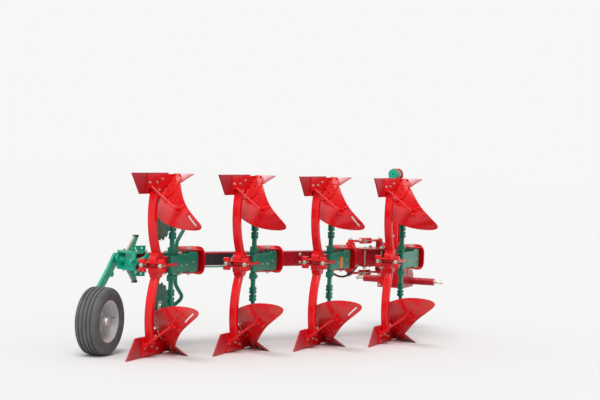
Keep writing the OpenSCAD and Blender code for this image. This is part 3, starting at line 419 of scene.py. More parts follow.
def slab(bm, outline, a, b):
    """A plate from two faces of the same outline, given by functions of a point in the plane."""
    low = [bm.verts.new(a(p)) for p in outline]
    high = [bm.verts.new(b(p)) for p in outline]
    count = len(outline)
    bm.faces.new(low)
    bm.faces.new(list(reversed(high)))
    for k in range(count):
        n = (k + 1) % count
        bm.faces.new((low[n], low[k], high[k], high[n]))


def side_plate(bm, outline, y, thick):
    """A plate across Y. The outline has pairs of (x, z)."""
    slab(bm, outline, lambda p: (p[0], y, p[1]), lambda p: (p[0], y + thick, p[1]))


def level_plate(bm, outline, z, thick):
    """A plate across Z. The outline has pairs of (x, y)."""
    slab(bm, outline, lambda p: (p[0], p[1], z), lambda p: (p[0], p[1], z + thick))


def cross_plate(bm, outline, x, thick):
    """A plate across X. The outline has pairs of (y, z)."""
    slab(bm, outline, lambda p: (x, p[0], p[1]), lambda p: (x + thick, p[0], p[1]))


def rounded(corner, before, after, radius, steps):
    """Points of a curve that rounds a corner, from the ways to the corners beside it."""
    reach = min(radius, before.length * 0.48, after.length * 0.48)
    start = corner + before.normalized() * reach
    end = corner + after.normalized() * reach
    points = []
    for j in range(steps + 1):
        t = j / steps
        points.append((1 - t) ** 2 * start + 2 * t * (1 - t) * corner + t * t * end)
    return points


def round_corners(outline, radius, steps):
    """The outline with its corners rounded. Radius is one number or one for each corner."""
    count = len(outline)
    points = []
    for k in range(count):
        r = radius[k] if isinstance(radius, (list, tuple)) else radius
        corner = Vector(outline[k])
        before = Vector(outline[k - 1]) - corner
        after = Vector(outline[(k + 1) % count]) - corner
        points += rounded(corner, before, after, r, steps)
    return points


def rounded_rectangle(low, high, radius, steps):
    """A rectangle with rounded corners, from two opposite corners."""
    return round_corners([low, (high[0], low[1]), high, (low[0], high[1])], radius, steps)


def smooth_path(points, radius, steps=6):
    """A path in space whose corners are rounded."""
    points = [Vector(p) for p in points]
    path = [points[0]]
    for k in range(1, len(points) - 1):
        path += rounded(points[k], points[k - 1] - points[k], points[k + 1] - points[k], radius, steps)
    path.append(points[-1])
    return path


def tube(bm, path, radius, count, wobble=0.0):
    """A round bar along a path, with even turns of its section."""
    rings = []
    side = None
    for k, point in enumerate(path):
        way = (path[min(k + 1, len(path) - 1)] - path[max(k - 1, 0)]).normalized()
        if side is None:
            side = basis(way)[0]
        side = (side - side.dot(way) * way).normalized()
        r = radius * (1 + wobble * math.sin(k * 2.4) + wobble * 0.6 * math.sin(k * 5.1 + 1))
        rings.append(ring(bm, point, side, side.cross(way), r, count))
    skin(bm, rings)


def bead(bm, points, radius=3.5, step=5.0):
    """A weld bead along straight lines between points."""
    points = [Vector(p) for p in points]
    path = []
    for a, b in zip(points, points[1:]):
        count = max(2, int((b - a).length / step))
        path.extend(a + (b - a) * (k / count) for k in range(count))
    path.append(points[-1])
    tube(bm, path, radius, 8, BEAD_WOBBLE)


def carved(mesh, cutter, name):
    """The mesh with the cutter's solids taken out of it."""
    scratch = bpy.data.meshes.new("cutter")
    bmesh.ops.recalc_face_normals(cutter, faces=cutter.faces)
    bmesh.ops.scale(cutter, vec=(MM, MM, MM), verts=cutter.verts)
    cutter.to_mesh(scratch)
    cutter.free()
    tool = add_object("cutter", scratch)
    work = add_object("work", mesh)
    cut = work.modifiers.new("cut", "BOOLEAN")
    cut.operation = "DIFFERENCE"
    cut.object = tool
    result = bpy.data.meshes.new_from_object(work.evaluated_get(bpy.context.evaluated_depsgraph_get()))
    result.name = name
    for obj in (tool, work):
        bpy.data.objects.remove(obj)
    bm = bmesh.new()
    bm.from_mesh(result)
    shade(bm, MERGE_GAP * MM)
    bm.to_mesh(result)
    bm.free()
    return result


# The bodies: the ploughing surface, as in the CAD source
SHARE_REACH = 550
SURFACE_SLOPE = 1.948
SURFACE_CURVE = 0.0019
EDGE_ANGLE = 46
TAIL_TURN = 13.6
TAIL_H = 450
LAND_FACE = 60
BOARD_T = 8
SHARE_T = 11
SHARE_H = 92

# Rows of a plate's outline: distance to the landside, lowest and highest height
BOARD_ROWS = [(2, 94, 385), (60, 94, 425), (150, 94, 457), (250, 94, 483), (350, 148, 499), (450, 218, 506),
              (550, 294, 507), (640, 356, 502), (700, 404, 491), (728, 430, 478), (740, 448, 465)]
SHARE_ROWS = [(2, 0, SHARE_H), (130, 0, SHARE_H), (250, 0, SHARE_H), (340, 0, 50), (425, 0, 8)]


def shin_x(h):
    return SHARE_REACH - SURFACE_SLOPE * h + SURFACE_CURVE * h * h


def line_angle(h):
    return math.radians(EDGE_ANGLE + TAIL_TURN * (max(h, 0) / TAIL_H) ** 1.6)


def blade_point(t, h):
    """A point of the lower body, from the distance to the landside and the height above the sole."""
    angle = line_angle(h)
    return Vector((shin_x(h) - t * math.cos(angle), LAND_FACE - t * math.sin(angle), h - MID_H))


def blade_normal(t, h):
    """The direction square to the surface, towards its back."""
    across = blade_point(t + 1, h) - blade_point(t - 1, h)
    up = blade_point(t, h + 1) - blade_point(t, h - 1)
    n = across.cross(up).normalized()
    return -n if n.x > 0 else n


def behind(t, h, depth):
    """A point behind the surface, kept above the sole."""
    p = blade_point(t, h) + depth * blade_normal(t, h)
    p.z = max(p.z, -MID_H)
    return p


def spread(rows, count):
    """The outline rows at even steps, with smooth curves between them."""
    total = len(rows) - 1
    result = []
    for k in range(count + 1):
        at = total * k / count
        i = min(int(at), total - 1)
        u = at - i
        row = []
        for c in range(3):
            p1, p2 = rows[i][c], rows[i + 1][c]
            m1 = (rows[min(i + 1, total)][c] - rows[max(i - 1, 0)][c]) / 2
            m2 = (rows[min(i + 2, total)][c] - rows[i][c]) / 2
            row.append((2 * u ** 3 - 3 * u ** 2 + 1) * p1 + (u ** 3 - 2 * u ** 2 + u) * m1
                       + (3 * u ** 2 - 2 * u ** 3) * p2 + (u ** 3 - u ** 2) * m2)
        result.append(row)
    return result


def curved_plate(bm, rows, columns, strips, thick, edge=1.5):
    """A plate on the ploughing surface with softened edges."""
    rows = spread(rows, columns)
    layers = []
    for depth, inset in ((0, edge), (edge, 0), (thick - edge, 0), (thick, edge)):
        grid = []
        for i, (t, lowest, highest) in enumerate(rows):
            shift = inset if i == 0 else -inset if i == columns else 0
            line = []
            for j in range(strips + 1):
                h = lowest + inset + (highest - lowest - 2 * inset) * j / strips
                line.append(bm.verts.new(behind(t + shift, h, depth)))
            grid.append(line)
        layers.append(grid)

    def rim(grid):
        near = [grid[i][0] for i in range(columns)] + [grid[columns][j] for j in range(strips)]
        far = [grid[i][strips] for i in range(columns, 0, -1)] + [grid[0][j] for j in range(strips, 0, -1)]
        return near + far

    for grid, flip in ((layers[0], False), (layers[-1], True)):
        for i in range(columns):
            for j in range(strips):
                corners = [grid[i][j], grid[i][j + 1], grid[i + 1][j + 1], grid[i + 1][j]]
                bm.faces.new(list(reversed(corners)) if flip else corners)
    for first, second in zip(layers, layers[1:]):
        a = rim(first)
        b = rim(second)
        for k in range(len(a)):
            n = (k + 1) % len(a)
            bm.faces.new((a[k], a[n], b[n], b[k]))


def add_boards():
    for name, rows, columns, strips, thick, slot, look, node in (
            ("board", BOARD_ROWS, 44, 26, BOARD_T, "board_paint", "", "mouldboards"),
            ("share", SHARE_ROWS, 24, 8, SHARE_T, "share_paint", "share_worn", "shares")):
        bm = bmesh.new()
        curved_plate(bm, rows, columns, strips, thick)
        mirror_below(bm)
        unit_pieces(name, bm, slot, look, replaced=node)


add_boards()

# Fasteners of the bodies, as the photograph shows them on the upper body. Those on the ploughing
# surface have pairs of (distance to the landside, height above the sole).
FROG_BOLTS = [(-112, 768), (44, 770), (164, 800), (100, 700)]
FROG_FACE = 40
LEG_BOLT = (-60, -42, -658)
SHARE_BOLTS = [(60, 40), (170, 40)]
BOARD_BOLTS = [(60, 140), (150, 175), (150, 120)]
FROG_BACK = 13
STAY_T = 400
STAY_H = 330
STAY_BOLTS = [(-34, -18), (34, -14), (4, 30)]
STAY_PLATE = [(-58, -38), (58, -34), (44, 48), (-20, 48)]
STAY_PLATE_T = 7
LIFT = 0.4
CLIPS = [(525, 272), (602, 330)]
STRIP_A = (585, 375)
STRIP_B = (672, 458)
STRIP_HALF = 9
STRIP_STEPS = 16
STRIP_SECTION = ((-1, 0.2), (1, 0.2), (1, 0.8), (0, 0.8), (-1, 0.8))
YOKE_ROD_Y = 96


def add_body_bolts():
    bm = bmesh.new()
    for x, z in FROG_BOLTS:
        bolt(bm, (x, FROG_FACE, -z), RIGHT, 21, 9)
    bolt(bm, LEG_BOLT, RIGHT, 20, 9)
    mirror_below(bm)
    unit_pieces("body_bolts", bm, "zinc")


def add_board_fittings():
    """Bolts of share, board and stay, the stay's plate and the two clips near the tail."""
    bm = bmesh.new()
    for places, thick in ((SHARE_BOLTS, SHARE_T), (BOARD_BOLTS, BOARD_T)):
        for t, h in places:
            bolt(bm, behind(t, h, thick + FROG_BACK), blade_normal(t, h), 20, 9, 7)
    for dt, dh in STAY_BOLTS:
        t = STAY_T + dt
        h = STAY_H + dh
        bolt(bm, behind(t, h, BOARD_T + STAY_PLATE_T), blade_normal(t, h), 22, 10, 8)
    slab(bm, round_corners(STAY_PLATE, 14, 4),
         lambda p: behind(STAY_T + p[0], STAY_H + p[1], BOARD_T + LIFT),
         lambda p: behind(STAY_T + p[0], STAY_H + p[1], BOARD_T + STAY_PLATE_T))
    for t, h in CLIPS:
        n = blade_normal(t, h)
        side = (blade_point(t + 40, h + 28) - blade_point(t, h)).normalized()
        out = side.cross(n).normalized()
        for k in range(2):
            low = blade_point(t, h) + n * (BOARD_T + LIFT + 11 * k) - out * 30
            reach = side * (16 - 5 * k)
            rod(bm, low - reach, low + reach, 9 - 2 * k, 10, 2)
    mirror_below(bm)
    unit_pieces("board_fittings", bm, "red_paint")


def add_strips():
    """Blank pale strips near the tails of the boards of units 1 and 3."""
    bm = bmesh.new()
    start = Vector(STRIP_A)
    way = Vector(STRIP_B) - start
    side = Vector((-way.y, way.x)).normalized() * STRIP_HALF
    rings = []
    for k in range(STRIP_STEPS + 1):
        middle = start + way * (k / STRIP_STEPS)
        places = [(middle + s * side, depth) for s, depth in STRIP_SECTION]
        rings.append([bm.verts.new(behind(p.x, p.y, BOARD_T + depth)) for p, depth in places])
    skin(bm, rings)
    mirror_below(bm)
    unit_pieces("board_strips", bm, "board_paint", "panel_white", units=(1, 3))


def add_yoke_bolts():
    """Draw rods with their nuts, and the bolts through the head of the legs."""
    bm = bmesh.new()
    for y in (-YOKE_ROD_Y, YOKE_ROD_Y):
        rod(bm, (-150, y, 0), (-28, y, 0), 10, 16)
        bolt(bm, (-126, y, 0), REAR, 27, 15)
        bolt(bm, (-62, y, 0), (1, 0, 0), 26, 12)
        for up in (-1, 1):
            bolt(bm, (-96, y, 34 * up), UP * up, 18, 8)
    unit_pieces("yoke_bolts", bm, "zinc")


add_body_bolts()
add_board_fittings()
add_strips()
add_yoke_bolts()

# The depth wheel: a ribbed tyre on a deep dished rim. Profiles have pairs of (place along the
# axis, radius) and are for the left side, where a half is enough.
WHEEL_ARM_LEN = 832
WHEEL_PIVOT_X = 460
TYRE_R = 320
WHEEL_DOWN = math.asin((MID_H - TYRE_R) / WHEEL_ARM_LEN)
WHEEL_AT = Vector((WHEEL_PIVOT_X - WHEEL_ARM_LEN * math.cos(WHEEL_DOWN), 480, TYRE_R - MID_H))
GROOVES = (-60, -21, 21, 60)
GROOVE_SECTION = ((-9, 0), (-7, 1.5), (-5, 12), (5, 12), (7, 1.5), (9, 0))
GROOVE_REACH = 11
CROWN_HALF = 84
CROWN_DROP = 5
TYRE_SIDE = [(91, 312), (99, 306), (106, 297), (111, 288), (112, 284), (114, 280), (117, 270), (119.5, 258),
             (120, 246), (118.5, 236), (114, 226), (112, 223), (109, 219), (106, 213), (104, 207), (101, 201),
             (94, 197)]
RIM_OUTSIDE = [(20, 178), (50, 184), (62, 192), (87, 194), (89, 200), (92, 210), (98, 213), (102, 211),
               (100, 206)]
RIM_INSIDE = [(94, 194), (88, 188), (66, 186), (54, 179), (22, 172)]
RIM_WELD_R = 172
RIM_DISH = [(52, 173), (56, 160), (58, 146), (52, 128), (42, 112), (36, 98), (34, 60), (34, 54), (28, 54),
            (28, 98), (35, 114), (45, 131), (51, 146), (48, 158), (45, 173)]
# Holes of the dish: count, radius of their circle, first angle, own radius and sides
DISH_HOLES = ((4, 138, 45, 17, 24), (5, 84, 18, 5.5, 16))
WHEEL_HUB = [(0, 44), (4, 48), (50, 50), (55, 62), (61, 62), (63, 52), (136, 49), (142, 45)]
HUB_CAP = [(0, 42), (3, 46), (7, 46), (9, 41), (24, 39), (32, 33), (37, 22), (39, 8)]
# Turned solids of a nut: place along the axis, profile and sides
WHEEL_NUT = ((1, [(0, 13), (5, 13), (9, 11)], 24), (-7, [(0, 10.5), (13, 10.5), (15, 9)], 6),
             (-21, [(0, 6), (7, 6), (9, 4.5)], 14))
VALVE_PATH = [(168, -34, 20), (160, -52, 20), (154, -82, 20)]


def at_wheel(x, y, z):
    return WHEEL_AT + Vector((x, y, z))


def mirrored(profile):
    return [(-y, r) for y, r in reversed(profile)]


def revolve(bm, profile, count):
    """A closed ring about the wheel's axis."""
    rings = []
    for k in range(count):
        a = 2 * math.pi * k / count
        rings.append([bm.verts.new(at_wheel(r * math.sin(a), y, r * math.cos(a))) for y, r in profile])
    skin(bm, rings, closed=True)


def crown_r(y):
    return TYRE_R - CROWN_DROP * (y / CROWN_HALF) ** 2


def tread():
    """The slightly round crown with its four grooves, from right to left."""
    points = [(y, crown_r(y)) for y in range(-CROWN_HALF, CROWN_HALF + 1, 4)
              if all(abs(y - g) >= GROOVE_REACH for g in GROOVES)]
    for g in GROOVES:
        points += [(g + shift, crown_r(g) - depth) for shift, depth in GROOVE_SECTION]
    return sorted(points)


def add_rim():
    bm = bmesh.new()
    revolve(bm, mirrored(RIM_OUTSIDE) + RIM_OUTSIDE + RIM_INSIDE + mirrored(RIM_INSIDE), 96)
    bead(bm, circle(at_wheel(0, 52, 0), RIM_WELD_R, "xz", 48, closed=True), 3.5, 6)
    new_piece("rim_barrel", bm, "rim_paint", body="wheel", replaced=("wheel_rim",))
    bm = bmesh.new()
    revolve(bm, RIM_DISH, 96)
    disc = to_mesh(bm, "rim_disc", "rim_paint")
    cutter = bmesh.new()
    for count, circle_r, start, hole_r, sides in DISH_HOLES:
        for at in circle(WHEEL_AT, circle_r, "zx", count, start):
            turned(cutter, at, LEFT, [(0, hole_r), (80, hole_r)], sides)
    add_piece("rim_disc", carved(disc, cutter, "rim_disc_cut"), "wheel")


def add_wheel():
    bm = bmesh.new()
    revolve(bm, mirrored(TYRE_SIDE) + tread() + TYRE_SIDE, 144)
    new_piece("tyre_body", bm, "tyre", body="wheel", replaced=("wheel_tyre",))
    add_rim()
    bm = bmesh.new()
    turned(bm, at_wheel(0, 84, 0), RIGHT, WHEEL_HUB, 40)
    new_piece("wheel_hub", bm, "rim_paint", "hub_paint", "wheel")
    bm = bmesh.new()
    turned(bm, at_wheel(0, -56, 0), RIGHT, HUB_CAP, 36)
    for at in circle(at_wheel(0, 28, 0), 70, "zx", 5, 54):
        for y, profile, sides in WHEEL_NUT:
            turned(bm, at + LEFT * y, RIGHT, profile, sides)
    new_piece("hub_cap", bm, "zinc", "hub_zinc", "wheel")
    bm = bmesh.new()
    tube(bm, smooth_path([at_wheel(*p) for p in VALVE_PATH], 10), 4, 10)
    new_piece("valve", bm, "tyre", body="wheel")


add_wheel()

# The skimmers: the ploughing surface again, at a smaller size, on a clamped stalk
SKIMMER_SIZE = 0.4
SKIMMER_PLACE = Vector((250, 0, -311))
SKIMMER_ROWS = [(2, 0, 385), (150, 0, 457), (300, 0, 492), (360, 60, 500), (450, 218, 506), (560, 300, 507),
                (660, 370, 498), (725, 430, 476)]
STALK_X = 204
STALK_Y = -80
STALK_HALF = 20
STALK_W = 38
STALK_END = 300
TOOTH_STEP = 16
STALK_FOOT = [(188, -240), (220, -240), (220, -300), (252, -540), (262, -575), (234, -592), (214, -540),
              (188, -310)]
PAD_HALF = 33
PAD_T = 12
PADS_Z = (-270, -344)
PAD_BOLTS_Z = (-252, -288, -326, -362)
CLAMP_LOW = -160
CLAMP_HIGH = -102


def add_stalks():
    bm = bmesh.new()
    low = (STALK_X - STALK_HALF, STALK_Y)
    high = (STALK_X + STALK_HALF, STALK_Y + STALK_W)
    level_plate(bm, rounded_rectangle(low, high, 5, 3), -STALK_END, STALK_END + 1)
    teeth = [(STALK_X - 19, 1)]
    for k in range(10):
        z = -TOOTH_STEP * k
        teeth += [(STALK_X - 34, z + 1), (STALK_X - 34, z - 10), (STALK_X - 27, z - 12.5)]
    teeth.append((STALK_X - 19, -165))
    side_plate(bm, teeth, STALK_Y + 22, 16)
    side_plate(bm, round_corners(STALK_FOOT, 8, 4), STALK_Y + 4, 30)
    for z in PADS_Z:
        pad = rounded_rectangle((STALK_X - PAD_HALF, z - PAD_HALF), (STALK_X + PAD_HALF, z + PAD_HALF), 9, 4)
        side_plate(bm, pad, STALK_Y - 5, PAD_T)
        side_plate(bm, pad, STALK_Y + 29, PAD_T)
    clamp = rounded_rectangle((STALK_X - PAD_HALF, CLAMP_LOW), (STALK_X + PAD_HALF, CLAMP_HIGH), 6, 3)
    side_plate(bm, clamp, STALK_Y - 4, 54)
    mirror_below(bm)
    unit_pieces("skimmer_stalk", bm, "green_paint", bevel=1.2)


def add_skimmers():
    bm = bmesh.new()
    curved_plate(bm, SKIMMER_ROWS, 32, 16, 16, edge=4)
    for vert in bm.verts:
        vert.co = vert.co * SKIMMER_SIZE + SKIMMER_PLACE
    mirror_below(bm)
    unit_pieces("skimmer_plate", bm, "green_paint", replaced="skimmers")
    add_stalks()
    bm = bmesh.new()
    for z in PAD_BOLTS_Z:
        for x in (-24, 24):
            bolt(bm, (STALK_X + x, STALK_Y - 5, z), RIGHT, 13, 4)
            bolt(bm, (STALK_X + x, STALK_Y + 41, z), LEFT, 13, 4)
    for x in (-16, 16):
        bolt(bm, (STALK_X + x, STALK_Y - 4, -132), RIGHT, 24, 12)
    for z in (-548, -575):
        bolt(bm, (STALK_X + 34, STALK_Y + 4, z), RIGHT, 18, 9)
    mirror_below(bm)
    unit_pieces("skimmer_bolts", bm, "green_paint")


add_skimmers()

# The disc coulters of the rear unit
DISC_AT = Vector((450, 165, -430))
DISC_R = 230
NOTCHES = 16
NOTCH_R = 22
NOTCH_STEPS = 24
DISC_HUB = [(0, 29), (3, 31), (20, 33), (24, 37), (26, 54), (34, 54), (36, 38), (50, 36), (56, 30), (60, 24)]
HUB_BOLT_R = 45
ARM_X = 350
ARM_Y = -40
ARM_PATH = [(ARM_X, ARM_Y, -104), (ARM_X, ARM_Y, -200), (540, ARM_Y, -340), (540, 60, -430), (450, 115, -430)]
ARM_R = 18
FOOT_Z = -94


def disc_edge(angle):
    """Radius of the notched disc's edge at an angle."""
    step = 2 * math.pi / NOTCHES
    turn = (angle + step / 2) % step - step / 2
    centre = DISC_R + 4
    aside = centre * math.sin(turn)
    if abs(aside) >= NOTCH_R:
        return DISC_R
    return min(DISC_R, centre * math.cos(turn) - math.sqrt(NOTCH_R ** 2 - aside ** 2))


def disc_mesh(bm, centre):
    rings = []
    count = NOTCHES * NOTCH_STEPS
    for k in range(count):
        a = 2 * math.pi * k / count
        r = disc_edge(a)
        way = Vector((math.cos(a), 0, math.sin(a)))
        profile = [(-3, 36), (-3, 150), (-3, r - 16), (-0.8, r - 1)]
        profile += mirrored(profile)
        rings.append([bm.verts.new(centre + way * radius + Vector((0, y, 0))) for y, radius in profile])
    skin(bm, rings, closed=True)


def add_discs():
    for name, up in (("disc_upper", 1), ("disc_lower", -1)):
        centre = Vector((DISC_AT.x, DISC_AT.y, -up * DISC_AT.z))
        bm = bmesh.new()
        disc_mesh(bm, centre)
        new_piece(name + "_blade", bm, "disc_steel", body=name, replaced=(name,))
        bm = bmesh.new()
        turned(bm, centre - LEFT * 30, LEFT, DISC_HUB, 36)
        for at in circle(centre + LEFT * 4, HUB_BOLT_R, "xz", 5):
            bolt(bm, at, LEFT, 13, 7, 3)
            bolt(bm, at - LEFT * 8, RIGHT, 13, 7)
        new_piece(name + "_hub", bm, "disc_steel", "zinc", name)


def add_coulter_arms():
    bm = bmesh.new()
    tube(bm, smooth_path(ARM_PATH, 62, 10), ARM_R, 24)
    level_plate(bm, rounded_rectangle((ARM_X - 30, -92), (ARM_X + 30, 92), 10, 4), FOOT_Z, 12)
    turned(bm, DISC_AT - LEFT * 60, LEFT, [(0, 24), (3, 28), (26, 28), (29, 26)], 32)
    bead(bm, circle((ARM_X, ARM_Y, FOOT_Z - 1), ARM_R + 1, "xy", 16, closed=True), 3.5, 4)
    mirror_below(bm)
    new_piece("coulter_bars", bm, "green_paint", replaced=("coulter_arms",))
    bm = bmesh.new()
    for x in (-18, 18):
        for y in (-74, 74):
            bolt(bm, (ARM_X + x, y, FOOT_Z), -UP, 22, 11, 7)
    turned(bm, DISC_AT + LEFT * 29, LEFT, [(0, 17), (7, 17), (9, 14)], 6)
    mirror_below(bm)
    new_piece("coulter_bolts", bm, "zinc")


add_discs()
add_coulter_arms()

# Fittings of the carriers
CARRIER_FACE = 92
CARRIER_WELD_Y = 79
CARRIER_WELD_Z = 77
SPRING_BOLTS_X = (361, 486)
SPRING_PIN_X = 640
SPRING_CLIPS_X = (300, 430, 560)
MARK_LOW = (428, -80)
MARK_HIGH = (520, 36)


def add_carrier_fittings():
    """Bolts of the spring pack, pin heads, welds, spring clips and the third carrier's blank mark."""
    bm = bmesh.new()
    for side in (-1, 1):
        face = side * CARRIER_FACE
        for x in SPRING_BOLTS_X:
            bolt(bm, (x, face, -20), LEFT * side, 17, 8)
        turned(bm, (SPRING_PIN_X, face, 0), LEFT * side, [(0, 13), (5, 13), (7, 11)], 24)
    unit_pieces("carrier_bolts", bm, "zinc")
    bm = bmesh.new()
    side_plate(bm, rounded_rectangle(MARK_LOW, MARK_HIGH, 5, 3), -CARRIER_FACE - 0.8, 0.7)
    unit_pieces("carrier_mark", bm, "green_paint", "mark_orange", units=(3,))
    bm = bmesh.new()
    for y in (-CARRIER_WELD_Y, CARRIER_WELD_Y):
        for z in (-CARRIER_WELD_Z, CARRIER_WELD_Z):
            for start, end in ((602, 638), (238, 250)):
                bead(bm, [(start, y, z), (end, y, z)])
    unit_pieces("carrier_welds", bm, "green_paint")
    bm = bmesh.new()
    for x in SPRING_CLIPS_X:
        cross_plate(bm, rounded_rectangle((-39, -34), (39, 34), 6, 3), x, 16)
    unit_pieces("spring_clips", bm, "spring_steel", bevel=1.5)


add_carrier_fittings()

# Fittings of the main frame, in the beam's own axes: q along the beam, y across it and z up
BEAM_HALF = 75
BEAM_FROM = Matrix.Translation(BEAM_START) @ Matrix.Rotation(-BEAM_ANGLE, 4, "Z")
CLAMP_Q = CROSS_Q - 236
CLAMP_T = 20
CLAMP_RODS = [(CLAMP_Q + ahead, y) for ahead in (30, 258) for y in (-88, 100)]
LINK_Q = CLAMP_Q - 100
LINK_Z = 172
LINK_FRONT = Vector((BEAM_START.x + CROSS_Q * math.cos(BEAM_ANGLE) + 180.5, TURN_Y, LINK_Z))
LINK_THREADS = ((118, 170), (192, 308), (330, 382))
LINK_NUTS = ((155, 0.2), (330, 0.5))
LINK_BOLTS = [(LINK_Q - back, y) for back in (62, 20) for y in (-46, 46)]
PANEL_BOLT_Q = 1338
DOME_Z = 138
SWING_PIN = (-80, -153, 126)
DOME_BOLT = (-20, 40, 116)
GREASE_NIPPLE = [(0, 4), (5, 4), (6, 3), (9, 3), (11, 1.5)]

# Layers of the panel: name, look, thickness, the two lower corners and where its top ends in front
PANEL_REAR = 158
PANEL_TOP = 58
PANEL_LAYERS = (
    ("panel_field", "panel_dark", 0.9, (395, -52), (440, -36), 506),
    ("panel_line", "panel_white", 0.6, (400, -62), (452, -44), 512),
    ("panel_strip", "wheel_green", 0.3, (430, -72), (520, -32), 568),
)
PANEL_CORNERS = [2, 30, 30, 6, 2]

HOSE_REAR = 2 * SPACING - 100
HOSE_FRONT = CLAMP_Q - 42
HOSE_Y = -40
HOSE_SPREAD = 16
HOSE_END = 16
HOSE_SAG = 75
HOSE_R = 10.6
HOSE_STEPS = 48
HOSE_NUT = [(0, 15), (2, 16.5), (11, 16.5), (13, 15)]
HOSE_FERRULE = [(0, 12.5), (2, 13.5), (5, 12.8), (8, 13.5), (12, 12.6)]


def beam_piece(name, bm, slot, look="", replaced=()):
    bmesh.ops.transform(bm, matrix=BEAM_FROM, verts=bm.verts)
    new_piece(name, bm, slot, look, replaced=replaced)


def add_beam_panel():
    """A blank dark panel with a pale border and a green strip, on the beam's right face."""
    for name, look, thick, lower, middle, front in PANEL_LAYERS:
        outline = [(PANEL_REAR, lower[1]), lower, middle, (front, PANEL_TOP), (PANEL_REAR, PANEL_TOP)]
        bm = bmesh.new()
        side_plate(bm, round_corners(outline, PANEL_CORNERS, 6), -BEAM_HALF - 0.2 - thick, thick)
        beam_piece(name, bm, "beam_paint", look)


def link_pin(bm, x, y, up):
    """Head and nut on a pin of an adjusting link."""
    turned(bm, (x, y, up * (LINK_Z + 15)), UP * up, [(0, 21), (6, 21), (8, 19)], 28)
    turned(bm, (x, y, up * (LINK_Z + 23)), UP * up, [(0, 14), (9, 14), (11, 12)], 6)


def add_beam_bolts():
    bm = bmesh.new()
    for k in range(4):
        q = SPACING * k
        for up in (-1, 1):
            pin = Vector((q + SWING_PIN[0], SWING_PIN[1], up * SWING_PIN[2]))
            turned(bm, pin, UP * up, [(0, 17), (6, 17), (8, 15)], 6)
            turned(bm, pin + UP * up * 8, UP * up, GREASE_NIPPLE, 12)
            turned(bm, (q + DOME_BOLT[0], DOME_BOLT[1], up * DOME_BOLT[2]), UP * up,
                   [(0, 13), (3, 13), (4, 11), (12, 11), (13, 9)], 6)
    for q, y in CLAMP_RODS:
        face = BEAM_HALF + CLAMP_T
        rod(bm, (q, y, -face - 26), (q, y, face + 26), 11, 18)
        for up in (-1, 1):
            bolt(bm, (q, y, up * face), UP * up, 34, 16)
    for z in (-40, 42):
        bolt(bm, (PANEL_BOLT_Q, -BEAM_HALF, z), RIGHT, 24, 11)
    for up in (-1, 1):
        for q, y in LINK_BOLTS:
            bolt(bm, (q, y, up * (BEAM_HALF + 12)), UP * up, 19, 9)
        link_pin(bm, LINK_Q, 0, up)
    beam_piece("beam_bolts", bm, "zinc")


def add_beam_welds():
    bm = bmesh.new()
    for k in range(4):
        front = SPACING * k + 59
        for up in (-1, 1):
            bead(bm, [(front, -76, up * 76), (front, 70, up * 76)], 4)
            bead(bm, [(front - 127, -78, up * 105), (front, -78, up * 105)])
    for up in (-1, 1):
        for y in (-100, 130):
            bead(bm, [(CLAMP_Q + 8, y, up * 84), (CLAMP_Q + 292, y, up * 84)], 3)
        bead(bm, [(LINK_Q - 80, -61, up * 77), (LINK_Q + 34, -61, up * 77)])
    beam_piece("beam_welds", bm, "beam_paint")


def add_link_fittings():
    """Pins, lock nuts and bare threads of the two adjusting links."""
    bm = bmesh.new()
    start = BEAM_FROM @ Vector((LINK_Q, 0, 0))
    for up in (-1, 1):
        a = Vector((start.x, start.y, up * LINK_Z))
        way = (Vector((LINK_FRONT.x, LINK_FRONT.y, up * LINK_Z)) - a).normalized()
        link_pin(bm, LINK_FRONT.x, LINK_FRONT.y, up)
        for begin, end in LINK_THREADS:
            thread = [(k * 3.0, 13.2 if k % 2 else 14.6) for k in range(int((end - begin) / 3) + 1)]
            turned(bm, a + way * begin, way, thread, 20)
        for at, turn in LINK_NUTS:
            turned(bm, a + way * at, way, [(0, 21), (2, 23), (13, 23), (15, 21)], 6, turn)
    new_piece("link_threads", bm, "zinc")


def hose_point(u):
    """A point of the hose's hanging loop, from 0 at its rear end to 1 at its front end."""
    high = -DOME_Z + (DOME_Z - BEAM_HALF) * u
    return Vector((HOSE_REAR + (HOSE_FRONT - HOSE_REAR) * u, HOSE_Y - HOSE_SPREAD * u,
                   high - HOSE_END - HOSE_SAG * math.sin(math.pi * u) ** 0.8))


def add_hose():
    rear = Vector((HOSE_REAR, HOSE_Y, -DOME_Z))
    front = Vector((HOSE_FRONT, HOSE_Y - HOSE_SPREAD, -BEAM_HALF))
    points = [hose_point(k / HOSE_STEPS) for k in range(HOSE_STEPS + 1)]
    bm = bmesh.new()
    tube(bm, smooth_path([rear] + points + [front], 3, 2), HOSE_R, 20)
    beam_piece("hose_rubber", bm, "rubber_hose", replaced=("hose",))
    bm = bmesh.new()
    for end in (rear, front):
        turned(bm, end, -UP, HOSE_NUT, 6)
        turned(bm, end - UP * 13, -UP, HOSE_FERRULE, 24)
    beam_piece("hose_fittings", bm, "zinc")


add_beam_panel()
add_beam_bolts()
add_beam_welds()
add_link_fittings()
add_hose()

# Fittings of the depth wheel's bracket. Its stops lean forward from the pivot to their tips.
STOP_X = WHEEL_PIVOT_X + 178
STOP_Z = 232
BRACKET_BOLTS = [(-650, -112), (-650, 120), (-545, -112), (-545, 120), (-545, 150)]
BRACKET_TOP = 91
BRACKET_REAR = -674
COVER_Q = -656
COVER_T = 5
STAY_EYE_REAR = (-708, -134, -8)
STAY_EYE_FRONT = (-554, -140, 50)


